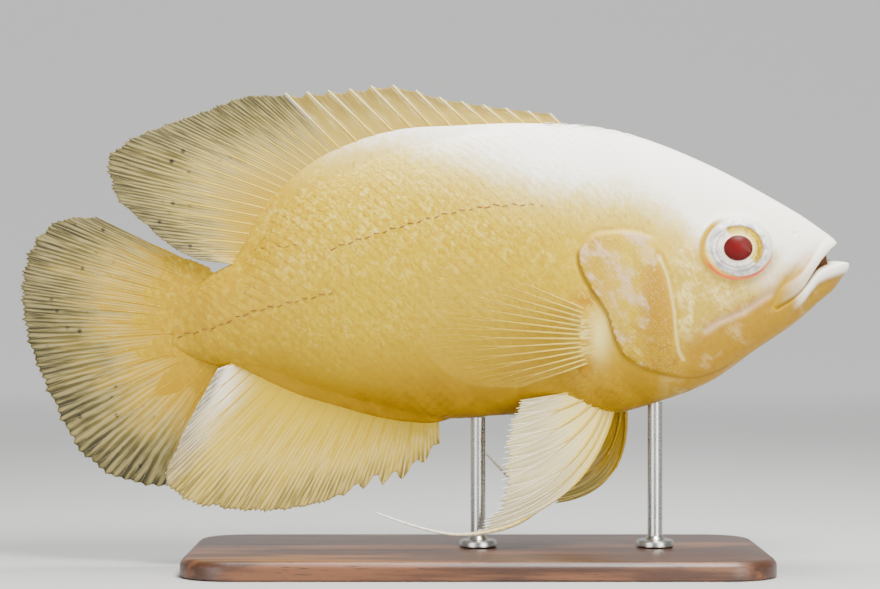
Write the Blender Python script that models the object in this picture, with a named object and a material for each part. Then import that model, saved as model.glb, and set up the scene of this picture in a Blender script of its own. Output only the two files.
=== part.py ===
"""A life-size display model of an oscar fish, held over a flat base by two rods.

The fish swims towards +X with its back to +Z, and its right side faces -Y.
Every size below is in millimetres and is turned into metres by one factor.
"""
import math

import bmesh
import bpy
import numpy as np

MM = 0.001

# Joints between neighbouring pieces of the fish
GAP = 0.3

# The body, read at places along X: (x, height of the back) and so on
BACK = (
    (-84.0, 84.0), (-70.0, 94.0), (-61.7, 98.5), (-47.3, 115.0), (-23.4, 129.6), (8.6, 138.9),
    (35.8, 141.5), (60.1, 138.9), (85.1, 129.8), (107.2, 118.3), (119.0, 111.3), (125.4, 106.8),
    (133.4, 102.0),
)
BELLY = (
    (-84.0, 70.0), (-70.0, 63.9), (-61.7, 63.2), (-53.7, 61.7), (-38.4, 56.4), (-17.0, 50.8),
    (4.0, 47.2), (24.0, 48.2), (57.0, 48.3), (72.0, 52.4), (89.6, 59.4), (102.7, 68.7),
    (115.8, 77.7), (126.0, 86.4), (133.4, 91.0),
)
HALF_WIDTH = (
    (-84.0, 1.2), (-76.0, 3.6), (-69.7, 5.6), (-61.7, 7.2), (-47.3, 10.2), (-29.8, 13.6),
    (-10.6, 16.6), (8.6, 18.7), (27.8, 19.9), (47.0, 20.2), (66.2, 19.2), (82.2, 17.8),
    (97.3, 15.7), (111.0, 12.8), (120.6, 10.2), (126.0, 8.6), (133.4, 7.4),
)
# How pinched the section is at the back and at the belly: 1 is an ellipse, less is blunter
BACK_PINCH = ((-84.0, 1.0), (-40.0, 1.15), (10.0, 1.3), (50.0, 1.2), (85.0, 0.9), (133.4, 0.8))
BELLY_PINCH = ((-84.0, 1.0), (-30.0, 1.05), (20.0, 0.85), (70.0, 0.85), (133.4, 0.85))
TAIL_END = -84.0
NOSE_START = 125.4
NOSE_TIP = 133.4
SECTION_POINTS = 30
TRUNK_STATIONS = 17
HEAD_STATIONS = 30
HEAD_FROM = 34.0

# The eyes
EYE_PLACE = (95.4, 101.3)
EYE_RADII = (12.0, 8.0, 10.6)
EYE_SUNK = 4.6
EYE_SEEN = (9.9, 8.7)
EYE_RIM = 0.9

# The lines that part the body, in side view, from the back downwards or from the lips backwards
NECK = (
    (46.0, 160.0), (46.0, 139.0), (48.0, 118.0), (50.0, 106.0), (58.0, 90.0), (66.0, 76.0),
    (71.5, 63.0), (70.0, 52.0), (70.0, 30.0),
)
TAIL_STALK = ((-56.0, 140.0), (-54.5, 108.0), (-52.6, 84.0), (-53.2, 60.0), (-54.0, 30.0))
FIN_ROOT = (
    (-66.0, 112.0), (-71.5, 92.5), (-75.0, 84.0), (-76.2, 77.0), (-75.0, 70.0), (-71.0, 62.0),
    (-66.0, 50.0),
)
MOUTH_UPPER = (
    (134.0, 105.4), (129.6, 102.6), (126.8, 100.6), (124.2, 98.2), (122.0, 95.4), (116.8, 88.6),
    (109.0, 82.8),
)
MOUTH_LOWER = (
    (137.0, 98.0), (128.8, 97.6), (124.6, 96.4), (122.2, 94.9), (116.9, 88.2), (109.1, 82.4),
)
JAW_BACK = ((109.0, 82.6), (106.0, 79.4), (100.9, 74.9), (97.1, 69.9), (95.2, 64.2), (93.0, 45.0))

# The gill cover, from its top front corner back, down, forward and up
GILL_COVER = (
    (71.6, 98.2), (70.0, 103.2), (66.4, 105.4), (61.1, 106.4), (55.0, 106.2), (50.4, 105.4),
    (46.6, 101.8), (45.4, 98.6), (46.6, 93.8), (49.7, 88.2), (54.6, 80.6), (56.6, 74.2),
    (59.5, 68.4), (64.5, 64.6), (70.2, 62.4), (78.9, 60.6), (84.5, 60.8), (91.1, 63.0),
    (95.0, 65.6), (93.0, 67.6), (88.3, 66.5), (82.7, 67.0), (78.9, 69.0), (77.2, 72.6),
    (76.4, 78.0), (75.4, 84.0), (74.0, 90.0), (73.0, 94.0),
)
GILL_THICKNESS = 2.6
GILL_LIFT = 1.0
GILL_INNER = 1.2

# Soft swellings of the flank round the eye and over the gill cover
ORBIT_SWELL = 0.8
COVER_SWELL = 1.0
COVER_MIDDLE = (62.0, 84.0)
COVER_REACH = (17.0, 20.0)

# How far the cutters reach sideways, and how close two points are one
THROUGH = 60.0
MERGE = 0.001

# The lips
LIP_UPPER_RADIUS = 1.7
LIP_LOWER_RADIUS = 1.9

# The fins: (share of the way along the base, x, z)
SPINY_BASE = (42.5, -24.0)
SPINY_EDGE = (
    (0.0, 37.4, 144.8), (0.25, 16.0, 147.6), (0.42, 1.6, 150.2), (0.58, -12.8, 154.0),
    (0.75, -26.9, 152.8), (1.0, -47.4, 151.4),
)
SPINY_RAYS = 13
SOFT_BASE = (-24.6, -62.0)
SOFT_EDGE = (
    (0.0, -48.0, 151.2), (0.12, -60.8, 150.8), (0.25, -72.6, 146.8), (0.4, -88.0, 141.3),
    (0.5, -98.0, 137.0), (0.57, -105.4, 131.0), (0.64, -104.2, 123.0), (0.71, -102.0, 117.5),
    (0.79, -93.5, 110.0), (0.87, -84.5, 102.4), (0.94, -75.5, 98.0), (1.0, -68.0, 97.0),
)
SOFT_RAYS = 19
ANAL_BASE = (1.0, -56.0)
ANAL_EDGE = (
    (0.0, 2.4, 39.0), (0.06, -3.0, 32.4), (0.12, -11.0, 26.6), (0.2, -20.0, 24.8),
    (0.35, -37.0, 19.2), (0.5, -54.0, 16.8), (0.62, -68.0, 17.8), (0.72, -80.0, 20.8),
    (0.79, -85.6, 26.8), (0.87, -81.6, 38.0), (0.94, -75.6, 50.0), (1.0, -66.6, 61.6),
)
ANAL_RAYS = 19
CAUDAL_EDGE = (
    (0.0, -109.0, 112.2), (0.1, -121.0, 111.4), (0.2, -129.5, 104.5), (0.3, -132.8, 95.6),
    (0.45, -133.4, 84.0), (0.6, -130.0, 67.0), (0.72, -123.0, 51.0), (0.83, -112.5, 33.5),
    (0.89, -103.0, 27.4), (0.94, -92.0, 24.6), (1.0, -75.0, 24.0),
)
CAUDAL_BASE = (
    (0.0, -69.5, 93.2), (0.25, -73.5, 85.0), (0.5, -75.0, 77.0), (0.75, -73.0, 69.5),
    (1.0, -67.5, 63.4),
)
CAUDAL_RAYS = 17
PECTORAL_BASE = ((0.0, 48.4, 81.8), (0.5, 46.8, 73.6), (1.0, 49.2, 65.6))
PECTORAL_EDGE = (
    (0.0, 5.0, 100.0), (0.2, -5.0, 91.5), (0.45, -7.5, 78.5), (0.7, -0.5, 65.0), (0.87, 12.0, 58.2),
    (1.0, 27.0, 57.6),
)
PECTORAL_RAYS = 14
PECTORAL_SPREAD = 11.0
# The pelvic fins: (share, x, y outwards, z). The far one is carried a little further forward
PELVIC_BASE = ((0.0, 57.4, 5.0, 51.0), (1.0, 50.4, 10.6, 57.0))
PELVIC_EDGE = (
    (0.0, 13.3, 11.5, 11.8), (0.12, 14.4, 12.2, 14.6), (0.3, 19.4, 12.8, 20.0), (0.5, 21.0, 13.4, 32.0),
    (0.75, 22.4, 14.2, 43.0), (1.0, 27.0, 14.6, 53.6),
)
PELVIC_BOW = 10.0
PELVIC_RAYS = 9
FAR_BASE = ((0.0, 62.0, 5.0, 51.4), (1.0, 55.0, 10.6, 57.0))
FAR_EDGE = (
    (0.0, 38.2, 12.5, 18.8), (0.12, 36.2, 13.2, 21.4), (0.3, 31.8, 13.8, 26.6), (0.5, 30.2, 14.2, 34.0),
    (0.75, 30.4, 14.6, 44.0), (1.0, 33.0, 15.0, 53.6),
)
FILAMENT = (
    (12.4, 11.6, 11.9), (5.7, 12.0, 11.6), (-2.5, 12.4, 12.9), (-11.0, 12.8, 15.6), (-18.0, 13.0, 18.2),
)
FAR_FILAMENT = ((36.2, 13.0, 19.6), (31.5, 13.6, 22.0), (24.6, 14.4, 27.4), (16.6, 15.0, 35.4))
FILAMENT_RADII = (1.3, 0.5)
FILAMENT_FLAT = 0.45

# How the fins are built: half thickness of (ray at the root, ray at the edge, web)
FIN_ROWS = 7
FIN_SINK = 2.0
THINNEST = 0.26
SPINY_THICK = (0.95, 0.4, 0.3)
SOFT_THICK = (0.85, 0.34, 0.28)
CAUDAL_THICK = (1.0, 0.34, 0.28)
PECTORAL_THICK = (0.75, 0.32, 0.26)
PECTORAL_SINK = 1.6
PELVIC_THICK = (0.9, 0.36, 0.28)

# The stand
BASE_SIZE = (184.0, 88.0, 6.0)
BASE_CENTRE = 14.0
BASE_CORNER = 16.0
ROD_FRONT = 71.0
ROD_REAR = 14.4
ROD_RADIUS = 2.4
COLLAR_RADIUS = 6.0
COLLAR_HEIGHT = 2.4
STAND_GAP = 0.2
ROD_INTO_BODY = 6.0


def clear_scene():
    """Remove whatever the file opened with."""
    for thing in list(bpy.data.objects):
        bpy.data.objects.remove(thing, do_unlink=True)


def material(name, colour, roughness, metallic=0.0):
    """A plain Principled material."""
    made = bpy.data.materials.new(name)
    made.use_nodes = True
    shader = made.node_tree.nodes["Principled BSDF"]
    shader.inputs["Base Color"].default_value = (*colour, 1.0)
    shader.inputs["Roughness"].default_value = roughness
    shader.inputs["Metallic"].default_value = metallic
    return made


def mesh_object(name, verts, faces):
    """A mesh object from millimetre points, with its faces turned outwards."""
    mesh = bpy.data.meshes.new(name)
    mesh.from_pydata([tuple(c * MM for c in v) for v in verts], [], faces)
    bm = bmesh.new()
    bm.from_mesh(mesh)
    bmesh.ops.recalc_face_normals(bm, faces=bm.faces)
    bm.to_mesh(mesh)
    bm.free()
    made = bpy.data.objects.new(name, mesh)
    bpy.context.scene.collection.objects.link(made)
    return made


def graph(points, x):
    """A smooth curve through points of (place, value), read at x."""
    place, value = np.array(points, float).T
    slope = np.gradient(value, place)
    k = np.clip(np.searchsorted(place, x) - 1, 0, len(place) - 2)
    span = place[k + 1] - place[k]
    t = np.clip((x - place[k]) / span, 0.0, 1.0)
    keep = (1 + 2 * t) * (1 - t) ** 2 * value[k] + t * t * (3 - 2 * t) * value[k + 1]
    return keep + span * (t * (1 - t) ** 2 * slope[k] + t * t * (t - 1) * slope[k + 1])


def along(points, share):
    """The point at a share of the way through points of (share, a, b, ...)."""
    table = np.array(points, float)
    return [float(graph(table[:, [0, k]], share)) for k in range(1, table.shape[1])]


def nose(x):
    """The share of its full section that the body keeps at x, rounding off at the tip."""
    t = min(max((x - NOSE_START) / (NOSE_TIP - NOSE_START), 0.0), 1.0)
    return math.sqrt(1.0 - t * t)


def section(x):
    """Middle height, half height and half width of the body at x."""
    top = float(graph(BACK, x))
    bottom = float(graph(BELLY, x))
    return (top + bottom) / 2, (top - bottom) / 2 * nose(x), float(graph(HALF_WIDTH, x)) * nose(x)


def relief(x, z):
    """How far the flank stands out of its plain section at (x, z)."""
    ring = math.hypot((x - EYE_PLACE[0]) / EYE_SEEN[0], (z - EYE_PLACE[1]) / EYE_SEEN[1])
    rim = EYE_RIM * math.exp(-(((ring - 1.15) / 0.22) ** 2))
    orbit = ORBIT_SWELL * math.exp(-((ring / 1.7) ** 2))
    off_x = (x - COVER_MIDDLE[0]) / COVER_REACH[0]
    off_z = (z - COVER_MIDDLE[1]) / COVER_REACH[1]
    return rim + orbit + COVER_SWELL * math.exp(-(off_x ** 2) - off_z ** 2)


def flank(x, z):
    """Half width of the body's skin at (x, z), or 0 outside its outline."""
    middle, half, width = section(x)
    if half < 0.01 or abs(z - middle) >= half:
        return 0.0
    turn = math.acos((z - middle) / half)
    return width * math.sin(turn) ** pinch(x, turn) + relief(x, z) * math.sin(turn)


def pinch(x, turn):
    """The section's exponent at x, from the back (turn 0) to the belly (turn pi)."""
    back = (1 + math.cos(turn)) / 2
    return float(graph(BACK_PINCH, x)) * back + float(graph(BELLY_PINCH, x)) * (1 - back)


def stations():
    """Places along the body, closer together in the head and at the nose."""
    trunk = np.linspace(TAIL_END, HEAD_FROM, TRUNK_STATIONS, endpoint=False)
    head = np.linspace(HEAD_FROM, NOSE_START, HEAD_STATIONS, endpoint=False)
    tip = NOSE_START + (NOSE_TIP - NOSE_START) * np.sin(np.linspace(0.0, math.pi / 2, 7)[:-1])
    return [*trunk, *head, *tip]


def body(name, swell=0.0):
    """The whole body as one closed mesh, swollen or shrunk along its normals."""
    verts = []
    places = stations()
    for x in places:
        middle, half, width = section(x)
        for step in range(SECTION_POINTS):
            turn = 2 * math.pi * step / SECTION_POINTS
            z = middle + half * math.cos(turn)
            reach = abs(math.sin(turn))
            y = width * reach ** pinch(x, math.acos(math.cos(turn))) + relief(x, z) * reach
            verts.append((x, math.copysign(y, math.sin(turn)), z))
    faces = []
    for row in range(len(places) - 1):
        for step in range(SECTION_POINTS):
            a = row * SECTION_POINTS + step
            b = row * SECTION_POINTS + (step + 1) % SECTION_POINTS
            faces.append((a, b, b + SECTION_POINTS, a + SECTION_POINTS))
    verts.append((TAIL_END, 0.0, section(TAIL_END)[0]))
    verts.append((NOSE_TIP, 0.0, section(NOSE_TIP)[0]))
    last = (len(places) - 1) * SECTION_POINTS
    for step in range(SECTION_POINTS):
        after = (step + 1) % SECTION_POINTS
        faces.append((after, step, len(verts) - 2))
        faces.append((last + step, last + after, len(verts) - 1))
    made = mesh_object(name, verts, faces)
    if swell:
        bm = bmesh.new()
        bm.from_mesh(made.data)
        bm.normal_update()
        moves = [v.normal.copy() for v in bm.verts]
        for v, move in zip(bm.verts, moves):
            v.co += move * swell * MM
        bm.to_mesh(made.data)
        bm.free()
    return made


def prism(name, outline, near, far):
    """A side-view outline carried through the body from y near to y far."""
    count = len(outline)
    verts = [(x, near, z) for x, z in outline] + [(x, far, z) for x, z in outline]
    faces = [tuple(range(count)), tuple(range(2 * count - 1, count - 1, -1))]
    for k in range(count):
        after = (k + 1) % count
        faces.append((k, after, after + count, k + count))
    return mesh_object(name, verts, faces)


def beside(line, reach):
    """A line moved sideways by reach, to its left."""
    moved = []
    for k, (x, z) in enumerate(line):
        ax, az = line[max(k - 1, 0)]
        bx, bz = line[min(k + 1, len(line) - 1)]
        size = math.hypot(bx - ax, bz - az)
        moved.append((x - (bz - az) / size * reach, z + (bx - ax) / size * reach))
    return moved


def curtain(name, line, width=GAP):
    """A thin cutter through the whole body, along a side-view line."""
    outline = beside(line, width / 2) + beside(line, -width / 2)[::-1]
    return prism(name, outline, -THROUGH, THROUGH)


def grown(outline, reach):
    """A closed outline, grown by reach."""
    area = sum(a[0] * b[1] - b[0] * a[1] for a, b in zip(outline, outline[1:] + outline[:1]))
    sign = -1.0 if area > 0 else 1.0
    moved = []
    count = len(outline)
    for k, (x, z) in enumerate(outline):
        ax, az = outline[k - 1]
        bx, bz = outline[(k + 1) % count]
        size = math.hypot(bx - ax, bz - az)
        moved.append((x - (bz - az) / size * reach * sign, z + (bx - ax) / size * reach * sign))
    return moved


def rounded(outline, steps=2):
    """A closed outline with smooth bends through its points."""
    count = len(outline)
    made = []
    for k in range(count):
        p0, p1, p2, p3 = (np.array(outline[(k + s) % count], float) for s in (-1, 0, 1, 2))
        for step in range(steps):
            t = step / steps
            made.append(tuple(
                0.5 * (2 * p1 + (p2 - p0) * t + (2 * p0 - 5 * p1 + 4 * p2 - p3) * t * t
                       + (3 * p1 - p0 - 3 * p2 + p3) * t ** 3)
            ))
    return made


def ellipsoid(name, centre, radii, rings=10, sides=20):
    """A closed ball with three radii."""
    verts = [(centre[0], centre[1] + radii[1], centre[2])]
    for ring in range(1, rings):
        turn = math.pi * ring / rings
        for side in range(sides):
            round_turn = 2 * math.pi * side / sides
            verts.append((
                centre[0] + radii[0] * math.sin(turn) * math.cos(round_turn),
                centre[1] + radii[1] * math.cos(turn),
                centre[2] + radii[2] * math.sin(turn) * math.sin(round_turn),
            ))
    verts.append((centre[0], centre[1] - radii[1], centre[2]))
    faces = []
    for side in range(sides):
        after = (side + 1) % sides
        faces.append((0, 1 + side, 1 + after))
        base = 1 + (rings - 2) * sides
        faces.append((len(verts) - 1, base + after, base + side))
        for ring in range(rings - 2):
            a = 1 + ring * sides
            faces.append((a + side, a + side + sides, a + after + sides, a + after))
    return mesh_object(name, verts, faces)


def tube(name, path, radii, sides=10, flat=1.0):
    """A closed tube along a path, with a radius at each point and its Y radius times flat."""
    path = [np.array(p, float) for p in path]
    verts = []
    for k, point in enumerate(path):
        way = path[min(k + 1, len(path) - 1)] - path[max(k - 1, 0)]
        way /= np.linalg.norm(way)
        across = np.cross(way, (0.0, 0.0, 1.0))
        across /= np.linalg.norm(across)
        up = np.cross(across, way)
        for side in range(sides):
            turn = 2 * math.pi * side / sides
            verts.append(tuple(
                point + across * math.cos(turn) * radii[k] * flat + up * math.sin(turn) * radii[k]
            ))
    faces = [tuple(range(sides)), tuple(range(len(verts) - 1, len(verts) - 1 - sides, -1))]
    for k in range(len(path) - 1):
        for side in range(sides):
            a = k * sides + side
            b = k * sides + (side + 1) % sides
            faces.append((a, b, b + sides, a + sides))
    return mesh_object(name, verts, faces)


def boolean(target, others, operation, solver="EXACT"):
    """Join, cut or intersect the target with the others in one step, and remove the others."""
    group = bpy.data.collections.new("tools")
    bpy.context.scene.collection.children.link(group)
    for other in others:
        group.objects.link(other)
    step = target.modifiers.new("step", "BOOLEAN")
    step.operation = operation
    step.solver = solver
    if len(others) == 1:
        step.object = others[0]
    else:
        step.operand_type = "COLLECTION"
        step.collection = group
    bpy.context.view_layer.update()
    shaped = target.evaluated_get(bpy.context.evaluated_depsgraph_get())
    mesh = bpy.data.meshes.new_from_object(shaped)
    target.modifiers.remove(step)
    target.data = mesh
    for other in others:
        bpy.data.objects.remove(other, do_unlink=True)
    bpy.data.collections.remove(group)
    return target


def loose_parts(bm):
    """The closed surfaces of a bmesh, the one that fills the largest box first."""
    left = set(bm.verts)
    parts = []
    while left:
        seed = left.pop()
        part = {seed}
        stack = [seed]
        while stack:
            for edge in stack.pop().link_edges:
                for v in edge.verts:
                    if v in left:
                        left.discard(v)
                        part.add(v)
                        stack.append(v)
        parts.append(part)
    parts.sort(key=lambda p: -box_volume(p))
    return parts


def box_volume(part):
    """The volume of the box round some vertices."""
    points = np.array([v.co for v in part])
    return float(np.prod(points.max(0) - points.min(0) + 1e-9))


def keep_largest(thing):
    """Drop every closed surface of a mesh but its largest."""
    bm = bmesh.new()
    bm.from_mesh(thing.data)
    bmesh.ops.remove_doubles(bm, verts=bm.verts, dist=MERGE * MM)
    bmesh.ops.dissolve_degenerate(bm, edges=bm.edges, dist=MERGE * MM)
    for part in loose_parts(bm)[1:]:
        bmesh.ops.delete(bm, geom=list(part), context="VERTS")
    bm.to_mesh(thing.data)
    bm.free()
    return thing


def finish(thing, name, paint):
    """Name a piece, give it its material and smooth shading."""
    thing.name = name
    thing.data.name = name
    thing.data.materials.clear()
    thing.data.materials.append(paint)
    thing.data.shade_smooth()
    return thing


def parted_body():
    """The body and its lips, cut into head, lower jaw, trunk, tail stalk and tail fin root."""
    whole = body("whole")
    upper = lip("upper_lip", MOUTH_UPPER[1:], LIP_UPPER_RADIUS, LIP_UPPER_RADIUS)
    lower = lip("lower_lip", MOUTH_LOWER[1:], LIP_LOWER_RADIUS, -LIP_LOWER_RADIUS)
    boolean(whole, [upper, lower], "UNION", "MANIFOLD")
    cutters = [
        curtain("neck_cut", NECK),
        curtain("stalk_cut", TAIL_STALK),
        curtain("fin_cut", FIN_ROOT),
        curtain("jaw_cut", JAW_BACK),
        prism("mouth_cut", list(MOUTH_UPPER) + list(MOUTH_LOWER)[::-1], -THROUGH, THROUGH),
    ]
    for side in (-1, 1):
        x, z = EYE_PLACE
        centre = (x, side * (flank(x, z) - EYE_SUNK), z)
        cutters.append(ellipsoid("socket", centre, [r + GAP for r in EYE_RADII]))
    boolean(whole, cutters, "DIFFERENCE", "MANIFOLD")
    pockets = []
    for side in (-1, 1):
        pockets.append(gill_slab("pocket", side, GAP, GILL_THICKNESS + GAP))
    boolean(whole, pockets, "DIFFERENCE", "MANIFOLD")
    return split(whole)


def gill_slab(name, side, reach, depth):
    """What lies inside the gill cover's outline, from a depth under the skin outwards."""
    outline = grown(rounded(list(GILL_COVER)), reach)
    slab = prism(name, outline, side * GILL_INNER, side * THROUGH)
    core = body("core", -depth)
    return boolean(slab, [core], "DIFFERENCE")


def split(whole):
    """One object for each closed surface, keyed by the place it fills."""
    bm = bmesh.new()
    bm.from_mesh(whole.data)
    bmesh.ops.remove_doubles(bm, verts=bm.verts, dist=MERGE * MM)
    parts = loose_parts(bm)
    found = {}
    for part in parts[:5]:
        piece = bm.copy()
        piece.verts.ensure_lookup_table()
        drop = [piece.verts[v.index] for v in bm.verts if v not in part]
        bmesh.ops.delete(piece, geom=drop, context="VERTS")
        mesh = bpy.data.meshes.new("piece")
        piece.to_mesh(mesh)
        piece.free()
        made = bpy.data.objects.new("piece", mesh)
        bpy.context.scene.collection.objects.link(made)
        points = np.array([v.co for v in mesh.vertices]) / MM
        found[tuple((points.max(0) + points.min(0)) / 2)] = made
    bm.free()
    bpy.data.objects.remove(whole, do_unlink=True)
    ordered = [found[key] for key in sorted(found)]
    return dict(zip(("fin_root", "tail_stalk", "trunk", "head", "lower_jaw"), ordered))


def lip(name, line, radius, rise):
    """A roll of flesh round one side of the mouth, from corner to corner."""
    path = []
    corner = line[-1][0] + 0.6
    heights = sorted((x, z + rise) for x, z in line)
    front = NOSE_TIP
    while flank(front, float(graph(heights, front))) <= 0.3:
        front -= 0.1
    front -= radius * 0.8
    for step in range(15):
        x = corner + (front - corner) * math.sin(math.pi / 2 * step / 14)
        z = float(graph(heights, x))
        path.append((x, flank(x, z) - radius * 0.45, z))
    path[-1] = (path[-1][0], 0.0, path[-1][2])
    path = [(x, -y, z) for x, y, z in path] + [(x, y, z) for x, y, z in path[-2::-1]]
    count = len(path)
    radii = [radius * (0.5 + 0.5 * math.sin(math.pi * k / (count - 1)) ** 0.6) for k in range(count)]
    return tube(name, path, radii)


def head_pieces():
    """The body's own pieces, in their colours."""
    parts = parted_body()
    skin = material("skin_lemon", (0.86, 0.62, 0.16), 0.38)
    head_skin = material("head_cream", (0.9, 0.78, 0.5), 0.36)
    jaw_skin = material("jaw_gold", (0.85, 0.55, 0.16), 0.36)
    finish(keep_largest(parts["head"]), "head", head_skin)
    finish(keep_largest(parts["lower_jaw"]), "lower_jaw", jaw_skin)
    finish(keep_largest(parts["trunk"]), "trunk", skin)
    finish(keep_largest(parts["tail_stalk"]), "tail_stalk", skin)
    return parts["fin_root"]


def gill_covers():
    """The two gill covers, each a flap of even thickness that stands a little proud."""
    paint = material("gill_gold", (0.88, 0.6, 0.28), 0.36)
    for side, name in ((-1, "gill_cover_right"), (1, "gill_cover_left")):
        flap = gill_slab(name, side, 0.0, GILL_THICKNESS)
        boolean(flap, [body("outer", GILL_LIFT)], "INTERSECT")
        finish(keep_largest(flap), name, paint)


def eyes():
    """The eyeballs in their sockets."""
    paint = material("eye_silver", (0.6, 0.6, 0.58), 0.12)
    x, z = EYE_PLACE
    for side, name in ((-1, "eye_right"), (1, "eye_left")):
        ball = ellipsoid(name, (x, side * (flank(x, z) - EYE_SUNK), z), EYE_RADII)
        finish(ball, name, paint)


def fin_mesh(name, rays, root, edge, thick, flesh=0.0, jag=0.03, bow=None, sway=None, rows=FIN_ROWS):
    """A fin: a web of even thickness with a raised ray at every other column.

    root and edge give a point for a share along the base; thick is the half thickness of
    (ray at the root, ray at the edge, web). Both faces are split along the same diagonals.
    """
    columns = 2 * rays - 1
    grid = np.zeros((columns, rows, 3))
    half = np.zeros((columns, rows))
    for c in range(columns):
        share = c / (columns - 1)
        start, end = np.array(root(share)), np.array(edge(share))
        on_ray = c % 2 == 0
        reach = 1.0 if on_ray else 1.0 - jag * (1.0 + 0.6 * math.sin(5.1 * c))
        for r in range(rows):
            v = reach * r / (rows - 1)
            point = start + (end - start) * v
            if bow is not None:
                point = point + np.array(bow(share)) * 4 * v * (1 - v)
            if sway is not None:
                point = point + np.array((0.0, sway(share, v), 0.0))
            grid[c, r] = point
            ray = thick[0] + (thick[1] - thick[0]) * v ** 0.8
            half[c, r] = max(ray if on_ray else thick[2], THINNEST) + flesh * math.exp(-v / 0.09)
    across = np.gradient(grid, axis=0)
    outward = np.gradient(grid, axis=1)
    normal = np.cross(across, outward)
    normal /= np.linalg.norm(normal, axis=2, keepdims=True)
    verts = [tuple(p) for p in (grid + normal * half[..., None]).reshape(-1, 3)]
    verts += [tuple(p) for p in (grid - normal * half[..., None]).reshape(-1, 3)]
    back = columns * rows
    faces = []
    for c in range(columns - 1):
        for r in range(rows - 1):
            a, b = c * rows + r, (c + 1) * rows + r
            if c % 2 == 0:
                pair = ((a, b, b + 1), (a, b + 1, a + 1))
            else:
                pair = ((a, b, a + 1), (b, b + 1, a + 1))
            faces += pair
            faces += [tuple(k + back for k in face[::-1]) for face in pair]
    rim = [c * rows for c in range(columns)]
    rim += [(columns - 1) * rows + r for r in range(1, rows)]
    rim += [c * rows + rows - 1 for c in range(columns - 2, -1, -1)]
    rim += [r for r in range(rows - 2, 0, -1)]
    for a, b in zip(rim, rim[1:] + rim[:1]):
        faces.append((a, a + back, b + back))
        faces.append((a, b + back, b))
    return mesh_object(name, verts, faces)


def rooted(fin):
    """Cut a fin's root to the skin that it grows from, leaving the joint."""
    boolean(fin, [body("skin_cut", GAP)], "DIFFERENCE")
    return keep_largest(fin)


def ridge_point(base, sink, top=True):
    """A point inside the back or the belly, for a share along a fin's base."""
    profile = BACK if top else BELLY

    def place(share):
        x = base[0] + (base[1] - base[0]) * share
        height = float(graph(profile, x))
        return (x, 0.0, height - sink if top else height + sink)

    return place


def flat_edge(points):
    """A fin's edge in the middle plane."""

    def place(share):
        x, z = along(points, share)
        return (x, 0.0, z)

    return place


def median_fins(fin_root):
    """The dorsal, anal and tail fins."""
    cream = material("fin_cream", (0.72, 0.66, 0.46), 0.4)
    gold = material("fin_gold", (0.84, 0.64, 0.28), 0.4)
    spiny = fin_mesh(
        "dorsal_fin_spiny", SPINY_RAYS, ridge_point(SPINY_BASE, FIN_SINK), flat_edge(SPINY_EDGE),
        SPINY_THICK, flesh=1.0, jag=0.09, sway=lambda s, v: 0.8 * v * math.sin(5 * s),
    )
    finish(rooted(spiny), "dorsal_fin_spiny", cream)
    soft = fin_mesh(
        "dorsal_fin_soft", SOFT_RAYS, ridge_point(SOFT_BASE, FIN_SINK), flat_edge(SOFT_EDGE),
        SOFT_THICK, flesh=1.2,
        sway=lambda s, v: -5.0 * s ** 2 * v + 0.8 * v * math.sin(5 + 9 * s),
    )
    finish(rooted(soft), "dorsal_fin_soft", cream)
    anal = fin_mesh(
        "anal_fin", ANAL_RAYS, ridge_point(ANAL_BASE, FIN_SINK, top=False), flat_edge(ANAL_EDGE),
        SOFT_THICK, flesh=1.2,
        sway=lambda s, v: -9.5 * s ** 1.3 * v + 0.7 * v * math.sin(9 * s),
    )
    finish(rooted(anal), "anal_fin", gold)
    caudal = fin_mesh(
        "caudal_fin", CAUDAL_RAYS, flat_edge(CAUDAL_BASE), flat_edge(CAUDAL_EDGE),
        CAUDAL_THICK, flesh=0.6,
        sway=lambda s, v: 3.0 * v * v + 0.8 * v * math.sin(11 * s),
    )
    stalk_side = [(-40.0, 140.0)] + beside(FIN_ROOT, GAP / 2) + [(-40.0, 20.0)]
    boolean(caudal, [prism("stalk_room", stalk_side, -THROUGH, THROUGH)], "DIFFERENCE")
    boolean(caudal, [fin_root], "UNION", "MANIFOLD")
    finish(keep_largest(caudal), "caudal_fin", gold)


def paired_fins():
    """The pectoral and pelvic fins, with the pelvic filaments."""
    clear = material("fin_pale", (0.86, 0.72, 0.46), 0.4)
    white = material("fin_white", (0.84, 0.78, 0.56), 0.4)
    for side, word in ((-1, "right"), (1, "left")):
        fin = fin_mesh(
            "pectoral", PECTORAL_RAYS, pectoral_point(PECTORAL_BASE, side, -PECTORAL_SINK),
            pectoral_point(PECTORAL_EDGE, side, PECTORAL_SPREAD), PECTORAL_THICK, flesh=0.7,
            sway=lambda s, v, side=side: side * 1.6 * math.sin(math.pi * v) * math.sin(math.pi * s),
        )
        finish(rooted(fin), "pectoral_fin_" + word, clear)
    ends = {
        "right": (-1, PELVIC_BASE, PELVIC_EDGE, FILAMENT),
        "left": (1, FAR_BASE, FAR_EDGE, FAR_FILAMENT),
    }
    for word, (side, base, edge, thread) in ends.items():
        fin = fin_mesh(
            "pelvic", PELVIC_RAYS, sided(base, side), sided(edge, side), PELVIC_THICK, flesh=0.8,
            bow=lambda s: (PELVIC_BOW * 0.72 * (1 - s), 0.0, -PELVIC_BOW * 0.7 * (1 - s)),
            rows=FIN_ROWS + 2,
        )
        finish(rooted(fin), "pelvic_fin_" + word, white)
        path = [(x, side * y, z) for x, y, z in thread]
        radii = np.linspace(FILAMENT_RADII[0], FILAMENT_RADII[1], len(path))
        finish(tube("thread", path, radii, 8, FILAMENT_FLAT), "pelvic_filament_" + word, white)


def pectoral_point(points, side, out):
    """A point off the flank, for a share along a pectoral fin's base or edge."""

    def place(share):
        x, z = along(points, share)
        return (x, side * (flank(x, z) + out), z)

    return place


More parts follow.
